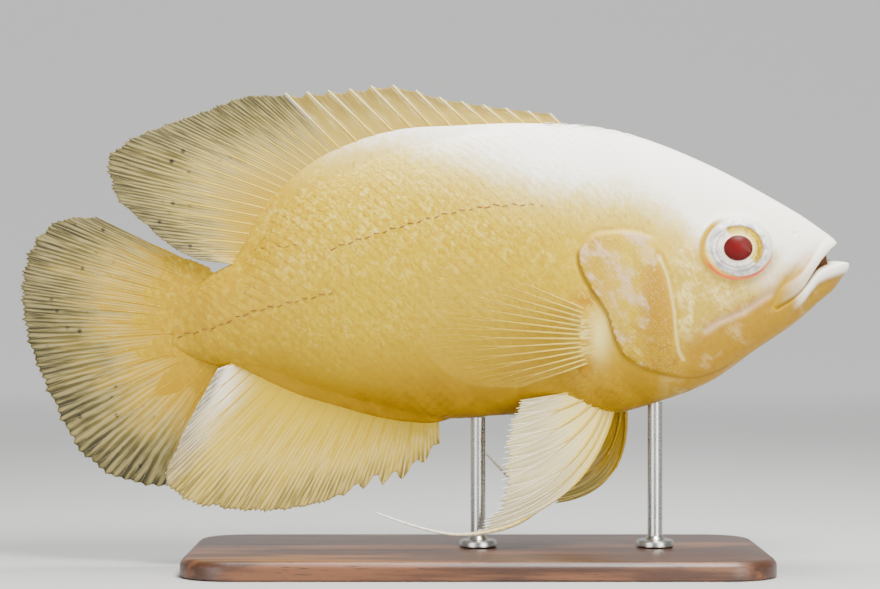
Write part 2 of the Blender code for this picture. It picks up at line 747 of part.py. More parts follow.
def sided(points, side):
    """A point for a share along a pelvic fin's base or edge, on one side."""

    def place(share):
        x, y, z = along(points, share)
        return (x, side * y, z)

    return place


def stand():
    """The base and the two rods that hold the fish."""
    wood = material("stand_walnut", (0.16, 0.08, 0.04), 0.45)
    steel = material("stand_steel", (0.62, 0.62, 0.62), 0.25, 1.0)
    length, depth, height = BASE_SIZE
    outline = []
    for k, (sx, sy) in enumerate(((1, 1), (-1, 1), (-1, -1), (1, -1))):
        for step in range(9):
            turn = math.pi / 2 * (k + step / 8)
            outline.append((
                BASE_CENTRE + sx * (length / 2 - BASE_CORNER) + BASE_CORNER * math.cos(turn),
                sy * (depth / 2 - BASE_CORNER) + BASE_CORNER * math.sin(turn),
            ))
    count = len(outline)
    verts = [(x, y, 0.0) for x, y in outline] + [(x, y, height) for x, y in outline]
    faces = [tuple(range(count)), tuple(range(2 * count - 1, count - 1, -1))]
    faces += [(k, (k + 1) % count, (k + 1) % count + count, k + count) for k in range(count)]
    finish(mesh_object("stand_base", verts, faces), "stand_base", wood)
    for x, name in ((ROD_FRONT, "stand_rod_front"), (ROD_REAR, "stand_rod_rear")):
        foot = height + STAND_GAP
        top = float(graph(BELLY, x)) + ROD_INTO_BODY
        rod = turned(name, x, ((ROD_RADIUS, foot), (ROD_RADIUS, top)))
        collar = turned("collar", x, ((COLLAR_RADIUS, foot), (COLLAR_RADIUS, foot + COLLAR_HEIGHT)))
        boolean(rod, [collar], "UNION")
        finish(rooted(rod), name, steel)


def turned(name, x, profile, sides=32):
    """A round solid about an upright axis, from (radius, height) pairs."""
    verts = []
    for radius, z in profile:
        for side in range(sides):
            turn = 2 * math.pi * side / sides
            verts.append((x + radius * math.cos(turn), radius * math.sin(turn), z))
    faces = [tuple(range(sides)), tuple(range(len(verts) - 1, len(verts) - 1 - sides, -1))]
    for ring in range(len(profile) - 1):
        for side in range(sides):
            a = ring * sides + side
            b = ring * sides + (side + 1) % sides
            faces.append((a, b, b + sides, a + sides))
    return mesh_object(name, verts, faces)


def main():
    """Build every piece."""
    clear_scene()
    fin_root = head_pieces()
    gill_covers()
    eyes()
    median_fins(fin_root)
    paired_fins()
    stand()


main()
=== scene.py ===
"""The looks of the oscar fish display model: skin, scales, fins, eyes, stand and studio.

The fish's own curves are the solids' curves, in millimetres. One skin covers the flesh, small solid
scales lie over it, and each fin is a thin web with its rays.
"""

import math

import bmesh
import bpy
import numpy as np
from mathutils import Euler, Matrix, Vector


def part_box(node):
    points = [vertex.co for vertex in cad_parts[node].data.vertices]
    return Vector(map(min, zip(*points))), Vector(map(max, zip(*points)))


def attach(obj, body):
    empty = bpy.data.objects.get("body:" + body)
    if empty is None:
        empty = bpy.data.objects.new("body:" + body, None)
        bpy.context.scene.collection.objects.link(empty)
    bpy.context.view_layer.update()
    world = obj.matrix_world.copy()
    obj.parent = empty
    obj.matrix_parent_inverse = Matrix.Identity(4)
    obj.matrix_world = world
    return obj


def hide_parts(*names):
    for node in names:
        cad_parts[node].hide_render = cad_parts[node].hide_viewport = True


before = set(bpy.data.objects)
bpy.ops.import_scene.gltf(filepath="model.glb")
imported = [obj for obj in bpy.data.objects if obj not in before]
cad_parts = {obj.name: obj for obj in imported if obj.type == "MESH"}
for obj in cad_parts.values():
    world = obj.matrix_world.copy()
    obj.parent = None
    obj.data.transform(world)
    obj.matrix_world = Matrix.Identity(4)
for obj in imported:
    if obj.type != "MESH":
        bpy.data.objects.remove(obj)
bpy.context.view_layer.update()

MM = 0.001

# The body's curves, read at places along X
BACK = (
    (-84.0, 84.0), (-70.0, 94.0), (-61.7, 98.5), (-47.3, 115.0), (-23.4, 129.6), (8.6, 138.9),
    (35.8, 141.5), (60.1, 138.9), (85.1, 129.8), (107.2, 118.3), (119.0, 111.3), (125.4, 106.8),
    (133.4, 102.0),
)
BELLY = (
    (-84.0, 70.0), (-70.0, 63.9), (-61.7, 63.2), (-53.7, 61.7), (-38.4, 56.4), (-17.0, 50.8),
    (4.0, 47.2), (24.0, 48.2), (57.0, 48.3), (72.0, 52.4), (89.6, 59.4), (102.7, 68.7),
    (115.8, 77.7), (126.0, 86.4), (133.4, 91.0),
)
HALF_WIDTH = (
    (-84.0, 0.35), (-80.0, 1.5), (-76.0, 3.0), (-69.7, 5.2), (-61.7, 7.2), (-47.3, 10.2), (-29.8, 13.6),
    (-10.6, 16.6), (8.6, 18.7), (27.8, 19.9), (47.0, 20.2), (66.2, 19.2), (82.2, 17.8),
    (97.3, 15.7), (111.0, 12.8), (120.6, 10.2), (126.0, 8.6), (133.4, 7.4),
)
BACK_PINCH = ((-84.0, 1.0), (-40.0, 1.15), (10.0, 1.3), (50.0, 1.2), (85.0, 0.9), (133.4, 0.8))
BELLY_PINCH = ((-84.0, 1.0), (-30.0, 1.05), (20.0, 0.85), (70.0, 0.85), (133.4, 0.85))
TAIL_END = -84.0
NOSE_START = 125.4
NOSE_TIP = 133.4
BODY_LENGTH = 218.0
BODY_SLOPE = 0.0875

# The head's own forms, in side view
EYE_PLACE = (95.4, 101.3)
EYE_RADII = (12.0, 8.0, 10.6)
EYE_SUNK = 4.6
EYE_SEEN = (9.9, 8.7)
BALL_RINGS, BALL_SIDES = 56, 72
DOME_RINGS, DOME_SIDES = 20, 64
DOME_LIFTS = (0.12, -0.1)
NOSTRIL = (114.3, 106.0)
MOUTH_UPPER = ((109.0, 82.9), (116.8, 88.6), (121.6, 95.3), (124.2, 98.7), (126.8, 100.9),
               (129.6, 102.6), (134.0, 105.4))
MOUTH_LOWER = ((109.0, 82.3), (116.9, 88.2), (121.9, 94.5), (124.6, 95.9), (128.8, 97.2), (137.0, 98.0))
MOUTH_CORNER = 108.6
COAT_DEPTH = 0.2
SKIN_ROWS = ((TAIL_END, 40.0, 86), (40.0, 104.0, 124), (104.0, NOSE_START, 56))
NOSE_ROWS = 28
SKIN_COLUMNS = 322
SHEATH_WIDTH = 3.4
LIP_WIDTHS = (2.3, 2.0)
SLIT_WIDTH = 0.28
MOUTH_DEPTH = 8.0
LOBE = (47.6, 73.5)
BEND_STEPS = 4
GILL_COVER = (
    (71.6, 98.2), (70.0, 103.2), (66.4, 105.4), (61.1, 106.4), (55.0, 106.2), (50.4, 105.4),
    (46.6, 101.8), (45.4, 98.6), (46.6, 93.8), (49.7, 88.2), (54.6, 80.6), (56.6, 74.2),
    (59.5, 68.4), (64.5, 64.6), (70.2, 62.4), (78.9, 60.6), (84.5, 60.8), (91.1, 63.0),
    (95.0, 65.6), (93.0, 67.6), (88.3, 66.5), (82.7, 67.0), (78.9, 69.0), (77.2, 72.6),
    (76.4, 78.0), (75.4, 84.0), (74.0, 90.0), (73.0, 94.0),
)
PREOPERCLE = ((70.7, 98.8), (73.1, 93.2), (74.2, 88.4), (75.5, 81.2), (76.3, 73.2), (77.1, 69.2),
              (78.7, 66.3))
CHEEK_FOLD = ((106.2, 87.0), (97.4, 81.2), (90.0, 78.2), (85.8, 75.4))
LIP_FOLD = ((117.8, 99.6), (113.4, 93.6), (109.4, 88.2), (107.0, 83.0))
COVER_CREASE = ((62.0, 77.2), (66.2, 75.2), (70.9, 74.2), (74.6, 74.6))
LATERAL_UPPER = ((49.5, 111.7), (32.0, 114.8), (22.6, 114.8), (5.4, 112.3), (-8.4, 108.6),
                 (-18.1, 105.7), (-30.3, 101.7))
LATERAL_SHORT = ((-42.1, 102.5), (-56.0, 101.5))
LATERAL_LOWER = ((-29.4, 87.9), (-46.5, 83.8), (-60.8, 80.0), (-67.4, 77.1), (-79.8, 73.7))

# The scaled sheaths that wrap the roots of the dorsal and anal fins: (x, height over the body)
BACK_SHEATH = ((-64.0, 0.0), (-61.0, 3.5), (-56.0, 8.0), (-47.0, 7.4), (-32.0, 7.6), (-11.0, 5.4),
               (8.6, 2.2), (30.0, 0.4), (40.0, 0.0))
BELLY_SHEATH = ((-62.0, 0.0), (-54.0, 2.6), (-30.0, 3.4), (-8.0, 3.0), (3.0, 1.2), (6.0, 0.0))

SIDES = ((-1, "right"), (1, "left"))


def srgb(red, green, blue):
    """A colour as seen, turned into the shader's linear light."""
    seen = (red, green, blue)
    return tuple(((c / 255 + 0.055) / 1.055) ** 2.4 if c > 10 else c / 3294.6 for c in seen)


WHITE = srgb(255, 251, 238)
CREAM = srgb(236, 214, 128)
SAND = srgb(206, 176, 58)
LEMON = srgb(190, 159, 0)
YELLOW = srgb(180, 143, 0)
GOLD = srgb(170, 129, 0)
DEEP_GOLD = srgb(142, 101, 0)
ORANGE = srgb(168, 123, 0)
PINK = srgb(214, 180, 118)
MAUVE = srgb(208, 174, 140)
ROSE = srgb(178, 70, 30)
UMBER = srgb(94, 56, 30)
FIN_WHITE = srgb(226, 214, 166)
FIN_CREAM = srgb(136, 120, 52)
FIN_BEIGE = srgb(174, 148, 62)
FIN_DUN = srgb(150, 143, 108)
FIN_GREY = srgb(44, 42, 28)
FLECK = srgb(30, 27, 22)


# Curves and outlines


def graph(points, x):
    """A smooth curve through points of (place, value), read at x."""
    place, value = np.array(points, float).T
    slope = np.gradient(value, place)
    k = np.clip(np.searchsorted(place, x) - 1, 0, len(place) - 2)
    span = place[k + 1] - place[k]
    t = np.clip((x - place[k]) / span, 0.0, 1.0)
    keep = (1 + 2 * t) * (1 - t) ** 2 * value[k] + t * t * (3 - 2 * t) * value[k + 1]
    return keep + span * (t * (1 - t) ** 2 * slope[k] + t * t * (t - 1) * slope[k + 1])


def soft(x, start, end):
    """0 before start, 1 past end and smooth between."""
    t = np.clip((np.asarray(x, float) - start) / (end - start), 0.0, 1.0)
    return t * t * (3 - 2 * t)


def bump(x, width):
    """A soft bump of height 1 at 0."""
    return np.exp(-((x / width) ** 2))


def off_line(line, x, z):
    """How far each (x, z) lies from a line through points."""
    best = np.full(np.shape(x), 1e9)
    for (ax, az), (bx, bz) in zip(line, line[1:]):
        dx, dz = bx - ax, bz - az
        t = np.clip(((x - ax) * dx + (z - az) * dz) / (dx * dx + dz * dz), 0.0, 1.0)
        best = np.minimum(best, np.hypot(x - ax - t * dx, z - az - t * dz))
    return best


def inside(outline, x, z):
    """How far each (x, z) lies inside a closed outline, less than 0 outside it."""
    closed = list(outline) + [outline[0]]
    within = np.zeros(np.shape(x), bool)
    for (ax, az), (bx, bz) in zip(closed, closed[1:]):
        if az != bz:
            crosses = (az > z) != (bz > z)
            within ^= crosses & (x < (bx - ax) * (z - az) / (bz - az) + ax)
    return np.where(within, 1.0, -1.0) * off_line(closed, x, z)


def rounded(outline):
    """A closed outline with smooth bends through its points."""
    count = len(outline)
    made = []
    for k in range(count):
        a, b, c, d = (np.array(outline[(k + s) % count], float) for s in (-1, 0, 1, 2))
        for t in np.arange(BEND_STEPS) / BEND_STEPS:
            curve = 2 * b + (c - a) * t + (2 * a - 5 * b + 4 * c - d) * t * t
            made.append(tuple(0.5 * (curve + (3 * b - a - 3 * c + d) * t ** 3)))
    return made


COVER_OUTLINE = rounded(GILL_COVER)


# The body's surface


def nose(x):
    """The share of its full section that the body keeps at x, rounding off at the tip."""
    t = np.clip((x - NOSE_START) / (NOSE_TIP - NOSE_START), 0.0, 1.0)
    return np.sqrt(1.0 - t * t)


def section(x):
    """Middle height, half height and half width of the body at x."""
    top, bottom = graph(BACK, x), graph(BELLY, x)
    return (top + bottom) / 2, (top - bottom) / 2 * nose(x), graph(HALF_WIDTH, x) * nose(x)


def oval(x, z, centre, radii):
    """1 on the outline of an ellipse in side view, less inside it."""
    return np.hypot((x - centre[0]) / radii[0], (z - centre[1]) / radii[1])


def hump(x, z, centre, radii):
    """A soft rise of height 1 over an ellipse in side view."""
    return bump(oval(x, z, centre, radii), 1.0)


def gape(x, z):
    """How far inside the open mouth each place is, in side view, and how far from each lip line."""
    over = (graph(MOUTH_UPPER, x) - z) * 0.78
    under = (z - graph(MOUTH_LOWER, x)) * 0.78
    return np.minimum(over, under), -over, -under


def forms(x, z):
    """How far the flesh stands out of its plain section."""
    ring = oval(x, z, EYE_PLACE, EYE_SEEN)
    cover = inside(COVER_OUTLINE, x, z)
    open_, above, below = gape(x, z)
    out = -COAT_DEPTH + 0.9 * bump(ring - 1.13, 0.13) + 0.8 * bump(ring, 1.7)
    out = out - 0.5 * bump(ring - 1.02, 0.04)
    out = out - 2.4 * (1 - soft(ring, 0.84, 0.97))
    out = out + hump(x, z, (62.0, 84.0), (17.0, 20.0))
    free = soft(-(x - 72.0) + 0.25 * (80.0 - z), -4.0, 3.0)
    front_lift = 0.35 * (1 - soft(z, 62.5, 67.0) * soft(x, 76.0, 81.0))
    out = out + soft(cover, -0.4, 0.5) * (front_lift + 0.85 * free)
    out = out - 0.4 * free * bump(cover + 0.9, 0.6)
    ridge = off_line(PREOPERCLE, x, z)
    out = out + 0.35 * bump(ridge - 1.1, 1.0) * (cover < 0) - 0.3 * bump(ridge, 0.45)
    out = out - 0.45 * bump(off_line(CHEEK_FOLD, x, z), 0.9)
    out = out - 0.5 * bump(off_line(LIP_FOLD, x, z), 0.9) * (1 - 0.8 * soft(z, 90.0, 99.0))
    upper_from = soft(x, MOUTH_CORNER - 1.0, MOUTH_CORNER + 6.0)
    lower_from = soft(x, MOUTH_CORNER + 1.0, MOUTH_CORNER + 12.0)
    lifts = (upper_from * 0.85, lower_from * 1.1)
    for off, width, lift in zip((above, below), LIP_WIDTHS, lifts):
        across = np.clip((off - width) / width, -1.0, 1.0)
        out = out + lift * (1 - across * across) ** 0.7 * (off > 0)
    out = out - 0.2 * lower_from * bump(below - 4.6, 0.9)
    slit = soft(x, MOUTH_CORNER - 1.2, MOUTH_CORNER + 0.4)
    out = out - 1.3 * slit * bump(np.maximum(-open_, 0.0), SLIT_WIDTH)
    pit = np.hypot(x - NOSTRIL[0], z - NOSTRIL[1])
    out = out - 0.9 * bump(pit, 0.5) + 0.12 * bump(pit - 1.1, 0.4)
    out = out + 1.3 * np.exp(-(((x - LOBE[0]) / 3.2) ** 2) - ((z - LOBE[1]) / 9.4) ** 4)
    return out + 0.8 * hump(x, z, (56.0, 52.0), (6.0, 3.0))


def skin_point(x, turn):
    """The skin's surface for places along X and turns from the back round the fish."""
    middle, half, width = section(x)
    half = half - COAT_DEPTH * np.minimum(half, 1.0)
    reach = np.abs(np.sin(turn))
    back = (1 + np.cos(turn)) / 2
    pinch = graph(BACK_PINCH, x) * back + graph(BELLY_PINCH, x) * (1 - back)
    z = middle + half * np.cos(turn)
    side = np.where(np.sin(turn) < 0, -1.0, 1.0)
    y = width * reach ** pinch
    out = forms(x, z)
    open_ = gape(x, z)[0]
    deep = soft(open_, -0.8, 0.6) * soft(x, 117.0, 122.0)
    front = nose(x) < 1.0
    push_x = np.where(front, np.sqrt(1 - nose(x) ** 2), 0.0)
    y = y + out * reach * np.sqrt(1 - push_x ** 2)
    x_moved = x + out * push_x * reach ** 0.3 - deep * MOUTH_DEPTH * push_x - 1.2 * push_x ** 2
    y = y * (1 - 0.55 * deep)
    ridge = graph(BACK_SHEATH, x) * (x > -64.0) * (x < 40.0) * (np.cos(turn) > 0)
    keel = graph(BELLY_SHEATH, x) * (x > -62.0) * (x < 6.0) * (np.cos(turn) < 0)
    wedge = 1 - soft(y, 0.2, SHEATH_WIDTH)
    z = z + (ridge - keel) * wedge
    return np.stack([x_moved, side * np.maximum(y, 0.0), z], axis=-1)


def unit(rows):
    """Vectors scaled to a length of 1."""
    return rows / (np.linalg.norm(rows, axis=-1, keepdims=True) + 1e-12)


def skin_frame(x, turn):
    """The skin's points with their outward normals and their directions towards the tail."""
    tail = skin_point(x - 1.0, turn) - skin_point(x + 1.0, turn)
    around = skin_point(x, turn + 0.02) - skin_point(x, turn - 0.02)
    return skin_point(x, turn), unit(np.cross(around, tail)), unit(tail)


# Meshes


def linked(name, data):
    """A new object of the scene."""
    made = bpy.data.objects.new(name, data)
    bpy.context.scene.collection.objects.link(made)
    return made


def store(mesh, columns, kind="FLOAT"):
    """Keep numbers, or vectors, as point attributes of a mesh."""
    field = "value" if kind == "FLOAT" else "vector"
    for key, column in columns.items():
        layer = mesh.attributes.new(key, kind, "POINT")
        layer.data.foreach_set(field, np.asarray(column, np.float32).ravel())


def make_mesh(name, verts, faces, marks=None):
    """An object from millimetre points, with its normals outwards and smooth faces."""
    mesh = bpy.data.meshes.new(name)
    mesh.from_pydata((np.asarray(verts, float) * MM).tolist(), [], [tuple(f) for f in faces])
    store(mesh, marks or {})
    bm = bmesh.new()
    bm.from_mesh(mesh)
    bmesh.ops.recalc_face_normals(bm, faces=bm.faces)
    bm.to_mesh(mesh)
    bm.free()
    mesh.shade_smooth()
    return linked(name, mesh)


def grid_faces(rows, columns, wrap=False, first=0):
    """Four-sided faces between rows of points; wrap joins the last column to the first."""
    r, c = np.meshgrid(np.arange(rows - 1), np.arange(columns if wrap else columns - 1), indexing="ij")
    after = (c + 1) % columns
    a = r * columns + c
    b = r * columns + after
    return (np.stack([a, b, b + columns, a + columns], axis=-1).reshape(-1, 4) + first).tolist()


def cap_faces(rows, columns):
    """Triangles that close a wrapped grid's first and last rows to the two points after it."""
    count = rows * columns
    last = count - columns
    faces = []
    for step in range(columns):
        after = (step + 1) % columns
        faces.append((after, step, count))
        faces.append((last + step, last + after, count + 1))
    return faces


def colour_marks(x, z):
    """The markings that skin and scales share, for points in side view, with the places where shade is
    painted: the gill cover's edge, the cheek fold and the open mouth.
    """
    cover = inside(COVER_OUTLINE, x, z)
    open_, above, below = gape(x, z)
    at_mouth = soft(x, MOUTH_CORNER - 2.0, MOUTH_CORNER + 3.0)
    upper_lip = soft(above, -0.3, 0.2) * (1 - soft(above, 3.6, 5.0)) * soft(x, 108.0, 122.0)
    lower_lip = soft(below, -0.3, 0.2) * (1 - soft(below, 2.2, 4.0)) * soft(x, 113.0, 118.5)
    # cover_edge: the gill cover's own thin orange edge line, with the painted shadow of the flap's
    # overhanging edge laid into it
    edge = bump(cover + 0.2, 0.35) * (1 - soft(z, 99.0, 104.0))
    edge = edge * (1 - soft(x, 68.0, 72.0) * soft(z, 64.0, 66.0))
    bone = off_line(PREOPERCLE, x, z)
    corner = bump(open_, 0.9) * soft(-x, -119.0, -112.0) * soft(x, MOUTH_CORNER - 2.0, MOUTH_CORNER)
    corner = corner + bump(off_line(LIP_FOLD, x, z), 0.9) * (1 - 0.8 * soft(z, 87.0, 97.0))
    return {
        "cover": soft(cover, -0.6, 0.8) * (1 - soft(x, 76.0, 82.0)),
        "cover_edge": np.clip(edge, 0.0, 1.0),
        "bone": bump(bone, 0.5),
        "bone_side": bump(bone - 1.3, 0.7),
        "lips": np.clip(0.8 * upper_lip * at_mouth + lower_lip, 0.0, 1.0),
        # mouth: painted shade inside the open mouth
        "mouth": soft(open_, -0.1, 0.5) * at_mouth,
        # fold: painted shadow along the groove between cheek and lower jaw
        "fold": bump(off_line(CHEEK_FOLD, x, z), 1.2),
        "corner": np.clip(corner, 0.0, 1.0),
        "crease": bump(off_line(COVER_CREASE, x, z), 0.5),
        "lobe": hump(x, z, (46.6, 74.0), (3.0, 8.8)),
        "pale_patch": hump(x, z, (52.0, 74.0), (3.4, 7.5)),
    }





def points_of(thing):
    """A mesh's points in millimetres."""
    flat = np.empty(len(thing.data.vertices) * 3, np.float32)
    thing.data.vertices.foreach_get("co", flat)
    return flat.reshape(-1, 3) / MM


def body_skin(paint):
    """One skin over head, lower jaw, gill covers, trunk and tail stalk."""
    places = [np.linspace(start, end, count, endpoint=False) for start, end, count in SKIN_ROWS]
    tip = np.sin(np.linspace(0.0, math.pi / 2, NOSE_ROWS, endpoint=False))
    places = np.concatenate([*places, NOSE_START + (NOSE_TIP - NOSE_START) * tip])
    turns = 2 * math.pi * np.arange(SKIN_COLUMNS) / SKIN_COLUMNS
    x, turn = np.meshgrid(places, turns + 0.2 * np.sin(2 * turns), indexing="ij")
    verts = skin_point(x, turn).reshape(-1, 3)
    middle, half, _ = section(x)
    ends = np.array([(end, 0.0, section(end)[0]) for end in (TAIL_END, NOSE_TIP)])
    faces = grid_faces(*x.shape, wrap=True) + cap_faces(*x.shape)
    skin = make_mesh("body_skin", np.vstack([verts, ends]), faces)
    flat_z = np.append(middle + half * np.cos(turn), ends[:, 2])
    store(skin.data, colour_marks(np.append(x, ends[:, 0]), flat_z))
    skin.data.materials.append(paint)
    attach(skin, "root")
    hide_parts("head", "lower_jaw", "gill_cover_right", "gill_cover_left", "trunk", "tail_stalk")


# Node trees


def add_node(tree, kind, settings=None, inputs=None):
    """A node with its settings, and its inputs set or linked by name or by place."""
    node = tree.nodes.new(kind)
    for key, value in (settings or {}).items():
        setattr(node, key, value)
    pairs = inputs.items() if isinstance(inputs, dict) else enumerate(inputs or ())
    for key, value in pairs:
        socket = node.inputs[key]
        if isinstance(value, Value):
            value = value.socket
        if isinstance(value, bpy.types.NodeSocket):
            tree.links.new(value, socket)
        elif value is not None:
            socket.default_value = value
    return node


class Value:
    """A shader socket that works in sums like a number."""

    def __init__(self, tree, socket):
        self.tree = tree
        self.socket = socket

    def sum(self, operation, *others, clamp=False):
        """One Math node on this value and others."""
        node = add_node(
            self.tree, "ShaderNodeMath", {"operation": operation, "use_clamp": clamp}, [self, *others]
        )
        return Value(self.tree, node.outputs[0])

    def __add__(self, other):
        return self.sum("ADD", other)

    def __sub__(self, other):
        return self.sum("SUBTRACT", other)

    def __mul__(self, other):
        return self.sum("MULTIPLY", other)

    def __truediv__(self, other):
        return self.sum("DIVIDE", other)

    def __pow__(self, other):
        return self.sum("POWER", other)

    def __neg__(self):
        return self.sum("MULTIPLY", -1.0)

    def __rsub__(self, other):
        return (-self).sum("ADD", other)

    __radd__ = __add__
    __rmul__ = __mul__

    def near(self, middle, width, top=1.0):
        """A ridge of height top at middle, down to 0 on both its sides."""
        return (top - ((self - middle) / width).sum("ABSOLUTE")).held()

    def held(self):
        """This value kept from 0 to 1."""
        return self.sum("ADD", 0.0, clamp=True)

    def rise(self, start, end):
        """0 before start, 1 past end and smooth between."""
        node = add_node(
            self.tree, "ShaderNodeMapRange", {"interpolation_type": "SMOOTHSTEP"},
            {"Value": self, "From Min": start, "From Max": end},
        )
        return Value(self.tree, node.outputs["Result"])


class Paint:
    """A material with one Principled shader, its place in millimetres, and words for what feeds it."""

    def __init__(self, name, roughness=0.4, metallic=0.0, **constants):
        self.material = bpy.data.materials.new(name)
        self.material.use_nodes = True
        self.tree = self.material.node_tree
        self.shader = self.tree.nodes["Principled BSDF"]
        self.shader.inputs["Roughness"].default_value = roughness
        self.shader.inputs["Metallic"].default_value = metallic
        for key, value in constants.items():
            self.shader.inputs[key.replace("_", " ")].default_value = value
        source = add_node(self.tree, "ShaderNodeTexCoord")
        scaled = add_node(
            self.tree, "ShaderNodeVectorMath", {"operation": "SCALE"},
            {0: source.outputs["Object"], "Scale": 1 / MM},
        )
        self.place = scaled.outputs[0]

    def mark(self, name):
        """A point attribute of the piece."""
        node = add_node(self.tree, "ShaderNodeAttribute", {"attribute_name": name})
        return Value(self.tree, node.outputs["Fac"])

    def axes(self):
        """Object coordinates in millimetres, as three values."""
        parts = add_node(self.tree, "ShaderNodeSeparateXYZ", None, [self.place])
        return [Value(self.tree, out) for out in parts.outputs]

    def noise(self, size, detail=3.0, stretch=(1.0, 1.0, 1.0), turn=(0.0, 0.0, 0.0), rough=0.55):
        """Noise with features about size millimetres across, stretched and turned."""
        moved = add_node(
            self.tree, "ShaderNodeMapping", {"vector_type": "TEXTURE"},
            {"Vector": self.place, "Scale": tuple(size * s for s in stretch), "Rotation": turn},
        )
        node = add_node(
            self.tree, "ShaderNodeTexNoise", None,
            {"Vector": moved.outputs[0], "Scale": 1.0, "Detail": detail, "Roughness": rough},
        )
        return Value(self.tree, node.outputs[0])

    def spots(self, apart, radius):
        """1 in scattered round spots, apart and radius in millimetres."""
        node = add_node(
            self.tree, "ShaderNodeTexVoronoi", None, {"Vector": self.place, "Scale": 1 / apart}
        )
        away = Value(self.tree, node.outputs["Distance"])
        return 1.0 - away.rise(radius * 0.3 / apart, radius / apart)

    def drawn_out(self, share, reach, count, length):
        """Noise drawn out along a fin's rays: count streaks over the fin, length the ray in streaks."""
        joined = add_node(self.tree, "ShaderNodeCombineXYZ", None, [share * count, reach * length])
        node = add_node(
            self.tree, "ShaderNodeTexNoise", None,
            {"Vector": joined.outputs[0], "Scale": 1.0, "Detail": 2.0},
        )
        return Value(self.tree, node.outputs[0])

    def over(self, factor, second):
        """Lay one more colour over what the material has so far."""
        self.colour = self.mix(factor, self.colour, second)

    def mix(self, factor, first, second):
        """One colour laid over another by a factor."""
        node = add_node(self.tree, "ShaderNodeMix", {"data_type": "RGBA"})
        for key, value in ((0, factor), (6, first), (7, second)):
            if isinstance(value, Value):
                self.tree.links.new(value.socket, node.inputs[key])
            elif isinstance(value, bpy.types.NodeSocket):
                self.tree.links.new(value, node.inputs[key])
            else:
                node.inputs[key].default_value = value if key == 0 else (*value, 1.0)
        return node.outputs[2]

    def relief(self, height, depth, strength=1.0):
        """A Bump node for a height of some millimetres."""
        node = add_node(
            self.tree, "ShaderNodeBump", None,
            {"Height": height, "Distance": depth * MM, "Strength": strength},
        )
        self.tree.links.new(node.outputs[0], self.shader.inputs["Normal"])

    def feed(self, **sockets):
        """Link values to the shader's varying inputs."""
        for key, value in sockets.items():
            if isinstance(value, Value):
                value = value.socket
            self.tree.links.new(value, self.shader.inputs[key.replace("_", " ")])
        return self.material


# Materials


def skin_paint(name, scaly):
    """The lemon oscar's colouring: white back and forehead, lemon flank, golden belly."""
    paint = Paint(name, 0.42, Specular_IOR_Level=0.16, Subsurface_Weight=0.04, Subsurface_Scale=0.002,
                  Coat_Weight=0.03, Coat_Roughness=0.3)
    x, _, z = paint.axes()
    slant = (0.0, 0.9, 0.0)
    fleck = paint.noise(1.2, 2.0, stretch=(1.4, 1.0, 0.8), turn=slant)
    fine = paint.noise(0.6, 2.0, stretch=(1.5, 1.0, 0.8), turn=slant, rough=0.7)
    grains = (
        paint.noise(19.0), paint.noise(7.0, stretch=(1.3, 1.0, 0.8), turn=slant),
        paint.noise(2.3, stretch=(1.3, 1.0, 0.9), turn=slant), fleck, fine,
    )
    white = lay_flank(paint, x, z, grains, scaly)
    lay_face(paint, x, z, grains, white)
    lay_cover(paint, x, z, grains)
    lay_lines(paint, x, z, grains)
    if scaly:
        paint.over(paint.mark("rim") * fleck.rise(0.46, 0.56) * (1.0 - white) * 0.45, GOLD)
    grain = paint.noise(0.45, 2.0)
    paint.relief(grain * 0.4 + fine * 0.6, 0.1, 0.45)
    return paint.feed(Base_Color=paint.colour, Roughness=0.38 + grain * 0.14 + fine * 0.08)


def lay_flank(paint, x, z, grains, scaly):
    """Yellow specks over pinkish cream, gold at belly and tail, white along nape and forehead."""
    broad, cloud, patch, fleck, fine = grains
    level = z - x * BODY_SLOPE
    wander = (broad - 0.5) * 22.0 + (cloud - 0.5) * 9.0
    speckle = (cloud - 0.5) * 0.35 + (patch - 0.5) * 0.8 + (fleck - 0.5) * 1.1 + (fine - 0.5) * 0.6
    if scaly:
        speckle = speckle + (paint.mark("tint") - 0.5) * 0.16
    low = 1.0 - (level + wander * 0.7).rise(50.0, 84.0)
    high = (level + wander).rise(86.0, 118.0)
    ground = paint.mix(patch.rise(0.4, 0.6) * 0.7, SAND, PINK)
    ground = paint.mix(high * 0.4, ground, CREAM)
    ground = paint.mix(low * 0.85, ground, GOLD)
    yellow = paint.mix(low, LEMON, GOLD)
    yellow = paint.mix((fleck + patch - 1.0).rise(0.0, 0.3) * (0.6 + low * 0.3), yellow, YELLOW)
    covered = (speckle + 0.33 + low * 0.25 - high * 0.06).rise(-0.16, 0.34)
    paint.colour = paint.mix(covered, ground, yellow)
    paint.over((fine * 0.6 + fleck * 0.4).rise(0.56, 0.74) * 0.4, GOLD)
    paint.over((low - 0.6).held() * cloud.rise(0.4, 0.6) * 1.2, DEEP_GOLD)
    stalk = (1.0 - (x + wander * 0.6).rise(-78.0, -18.0)) * (x.rise(-104.0, -80.0) * 0.85 + 0.15)
    paint.over(stalk * (0.35 + patch.rise(0.4, 0.6) * 0.45), GOLD)
    brow = 120.0 + (1.0 - x.rise(-20.0, 53.0)) * 17.0 - x.rise(60.0, 104.0) * 29.0
    above_brow = z - brow + wander * 0.45 + (patch - 0.5) * 10.0 + (fleck - 0.5) * 8.0
    white = above_brow.rise(-9.0, 8.0)
    paint.over(above_brow.rise(-20.0, 2.0) * 0.5, CREAM)
    paint.over(white, WHITE)
    return white


